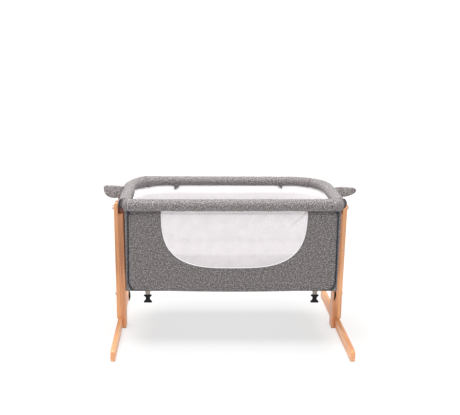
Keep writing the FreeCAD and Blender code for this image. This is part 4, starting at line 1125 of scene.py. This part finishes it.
def handle(side, name):
    """Padded fin: two faces, a band between them and a welt along each edge."""
    low, high = span(f"{name}_handle_cover")
    half = (high[1] - low[1]) / 2
    outline = handle_outline(name)
    centre = outline.mean(axis=0)

    def ring(share, y):
        return [(side * x, y, z) for x, z in between(centre, outline, share)]

    faces = [(share, half - 3.5 * MM + 3.0 * MM * (1 - share ** 4))
             for share in np.linspace(0.05, 0.93, 12)]
    rows = [ring(share, -bulge) for share, bulge in faces]
    rows += [ring(1 - 0.05 * sin(a) ** 4, (half - 3 * MM) * sin(a))
             for a in np.linspace(-pi / 2, pi / 2, 13)]
    rows += [ring(share, bulge) for share, bulge in faces[::-1]]
    piece = grid_piece(f"{name}_handle_cover_padded", rows, GREY_HANDLE_PAINTED_LIGHT, wrap=True, flat="box", capped=True)
    swell(piece, 1.5 * MM, lambda co: abs(abs(co[1]) - half + 3 * MM) < 0.8 * MM)
    for vertex in piece.data.vertices:
        x, y, z = vertex.co
        vertex.co.y += wave(x, y, z, 16 * MM, 3.0) * 0.8 * MM
        vertex.co.z += wave(x, y, z, 40 * MM, 8.0) * 0.5 * MM
    settle(piece, "basket", "grey_fabric", f"{name}_handle_cover")
    for face in (-1, 1):
        welt = cord_piece(f"{name}_handle_welt_{'front' if face < 0 else 'back'}",
                          ring(0.985, face * (half - 3 * MM)), 1.1 * MM, GREY_HANDLE_PAINTED_LIGHT, 8, closed=True)
        settle(welt, "basket", "grey_fabric")


def rail_tabs():
    """Two small folded tabs under the inner side of the back rail, folded on the slant."""
    low, high = span("rail_tabs")
    y = (low[1] + high[1]) / 2
    for side, name, wide, drop in ((-1, "left", 22 * MM, 21 * MM), (1, "right", 17 * MM, 15 * MM)):
        outer = side * (high[0] + 3 * MM)
        rows = []
        for share in np.linspace(0, 1, 12):
            x = outer - side * wide * share
            bottom = high[2] - 1 * MM - drop * (1 - 0.9 * share)
            column = [(x, y - 1.9 * MM, z) for z in np.linspace(high[2] + 2 * MM, bottom + 2 * MM, 6)]
            column += [(x, y - 1.9 * MM * cos(a), bottom + 2 * MM - 2 * MM * sin(a))
                       for a in np.linspace(0.3, pi - 0.3, 7)]
            column += [(x, y + 1.9 * MM, z) for z in np.linspace(bottom + 2 * MM, high[2] + 2 * MM, 6)]
            rows.append(column)
        settle(sheet_piece(f"{name}_rail_tab_loop", rows, GREY, 0.9 * MM), "basket", "grey_fabric",
               *(("rail_tabs",) if side < 0 else ()))


def outline_solid(name, outline, depth, material, soft):
    """A flat outline in the XZ plane given some depth, with rounded edges."""
    count = len(outline)
    vertices = [(x, y, z) for y in (-depth / 2, depth / 2) for x, z in outline]
    faces = [list(range(count)), [count + k for k in range(count)][::-1]]
    faces += [[k, count + k, count + (k + 1) % count, (k + 1) % count] for k in range(count)]
    piece = new_piece(name, vertices, faces, material)
    bevel = piece.modifiers.new("edges", "BEVEL")
    bevel.width = soft
    bevel.segments = 3
    bevel.limit_method = "ANGLE"
    bevel.angle_limit = radians(40)
    return apply_modifiers(piece)


def strap(side, name):
    """Webbing tab with one half of a side-release buckle at its end."""
    low, high = span(f"{name}_strap_buckle")
    tape_low, tape_high = span(f"{name}_strap_webbing")
    x, y = (low[0] + high[0]) / 2, (tape_low[1] + tape_high[1]) / 2
    top, join = tape_high[2] + 1 * MM, high[2]
    rows = []
    for z in np.linspace(top, join - 5 * MM, 16):
        share = (top - z) / (top - join)
        half = 12.5 * MM - 3.5 * MM * min(1.0, share * 1.4)
        rows.append([(x + half * t, y - 0.8 * MM * sin(pi * (t + 1) / 2) * share, z)
                     for t in np.linspace(-1, 1, 11)])
    settle(sheet_piece(f"{name}_strap_tape", rows, WEBBING, 1.6 * MM),
           f"{name}_strap", "webbing", f"{name}_strap_webbing")
    low = low + np.array((0, 0, 4 * MM))
    height = high[2] - low[2]
    half = [(14.5, 1.00), (15.5, 0.96), (15.5, 0.88), (11.5, 0.80), (9.0, 0.70), (8.2, 0.58), (8.4, 0.46),
            (10.0, 0.34), (14.0, 0.24), (16.0, 0.16), (16.0, 0.06), (14.5, 0.0)]
    outline = [(w * MM, low[2] + height * h) for w, h in half]
    outline += [(-w, z) for w, z in outline[::-1]]
    body = outline_solid(f"{name}_strap_buckle_body", outline, 7.5 * MM, PLASTIC, 1.3 * MM)
    rib = [(w * MM, low[2] + height * h) for w, h in ((3.2, 0.80), (4.2, 0.5), (3.2, 0.22))]
    rib += [(-w, z) for w, z in rib[::-1]]
    ridge = outline_solid(f"{name}_strap_buckle_rib", rib, 9.0 * MM, PLASTIC, 0.9 * MM)
    bar = [(w * MM, high[2] + h * MM) for w, h in ((13, 1.6), (13, -2), (-13, -2), (-13, 1.6))]
    crossbar = outline_solid(f"{name}_strap_buckle_bar", bar, 5.0 * MM, PLASTIC, 1.2 * MM)
    buckle = joined(f"{name}_strap_buckle_moulding", [body, ridge, crossbar])
    buckle.location = (x, y, 0)
    settle(buckle, f"{name}_strap", "black_plastic", f"{name}_strap_buckle")


def puller(side, name):
    """Curved moulded puller on the zip slider's bail."""
    low, high = span(f"{name}_zip_puller")
    x, y = (low[0] + high[0]) / 2, (low[1] + high[1]) / 2
    rows = []
    for share in np.linspace(0, 1, 26):
        z = high[2] - 2.2 * MM - (high[2] - low[2] - 2.2 * MM) * share
        bend = 5.0 * MM * sin(pi * share ** 0.9)
        wide = (1.8 + 2.1 * sin(pi * min(share * 1.1, 1.0)) + 0.3 * sin(share * 40)) * MM
        thick = 0.62 * wide
        rows.append([(x + bend * 0.45 + wide * cos(a), y - bend * 0.25 + thick * sin(a), z)
                     for a in circle(16)])
    body = grid_piece(f"{name}_puller_body", rows, PULLER, wrap=True, capped=True)
    ring = [(x, y + 1.7 * MM * cos(a), high[2] - 2.2 * MM + 1.9 * MM * sin(a))
            for a in circle(24)]
    eye = cord_piece(f"{name}_puller_eye", ring, 0.6 * MM, PULLER, 8, closed=True)
    settle(joined(f"{name}_puller_moulding", [body, eye]),
           f"{name}_puller", "puller_cord", f"{name}_zip_puller")


# ---------------------------------------------------------------- build
side_rail("left", 1.7)
side_rail("right", 4.1)
back_rail()
front_rail()
for hand, hand_name in ((-1, "left"), (1, "right")):
    corner_piping(hand, hand_name)
    seam_welt(hand, hand_name)
    handle(hand, hand_name)
    strap(hand, hand_name)
    puller(hand, hand_name)
outer_wall("left", 1.0)
outer_wall("back", 2.0)
outer_wall("right", 3.0)
floor_fabric()
front_fabric()
net_window()
zips()
lining()
front_curb()
mattress()
rail_tabs()


# ---------------------------------------------------------------- studio
def studio():
    """White sweep that glows a little, one large soft light overhead and the camera."""
    reach, lip, spokes = 60.0, 22.0, 96
    rings = [(0.0, 0.0), (2.0, 0.0), (6.0, 0.0), (reach, 0.0), (reach + 0.1, lip)]
    vertices = [(r * cos(a), r * sin(a), z) for r, z in rings
                for a in circle(spokes)]
    faces = [[i * spokes + k, (i + 1) * spokes + k,
              (i + 1) * spokes + (k + 1) % spokes, i * spokes + (k + 1) % spokes]
             for i in range(len(rings) - 1) for k in range(spokes)]
    floor_mesh = bpy.data.meshes.new("floor")
    floor_mesh.from_pydata(vertices, [], faces)
    floor = add_object("floor", floor_mesh, (0, 0, -0.5 * MM))
    paint = Shader("floor_paint", Roughness=0.95, Emission_Color=(1, 1, 1, 1))
    paint.surface.inputs["Base Color"].default_value = (FLOOR_TONE, FLOOR_TONE, FLOOR_TONE, 1)
    distance = paint.node("VectorMath", (0, paint.node("TexCoord").outputs["Object"]), operation="LENGTH")
    glow = paint.node("MapRange", ("Value", distance.outputs["Value"]), ("From Min", 1.2),
                      ("From Max", 5.0), ("To Min", FLOOR_GLOW), ("To Max", 1.0))
    paint.drive("Emission Strength", glow.outputs["Result"])
    floor_mesh.materials.append(paint.material)

    world = bpy.data.worlds.new("studio")
    world.use_nodes = True
    sky = world.node_tree.nodes["Background"].inputs
    sky["Color"].default_value = (1.0, 1.0, 1.0, 1)
    sky["Strength"].default_value = SKY
    bpy.context.scene.world = world

    data = bpy.data.lights.new("top_light", "AREA")
    data.shape = "RECTANGLE"
    data.size = data.size_y = LAMP_SIZE
    data.energy = TOP_WATTS
    add_object("top_light", data, LAMP_PLACE)

    data = bpy.data.cameras.new("camera")
    data.sensor_width = 36.0
    data.lens = CAMERA_LENS
    data.shift_x, data.shift_y = CAMERA_SHIFT
    camera = add_object("camera", data, CAMERA_PLACE)
    camera.rotation_euler = (radians(CAMERA_TILT), 0, 0)
    bpy.context.scene.camera = camera
    bpy.context.scene.view_settings.view_transform = "Standard"


studio()
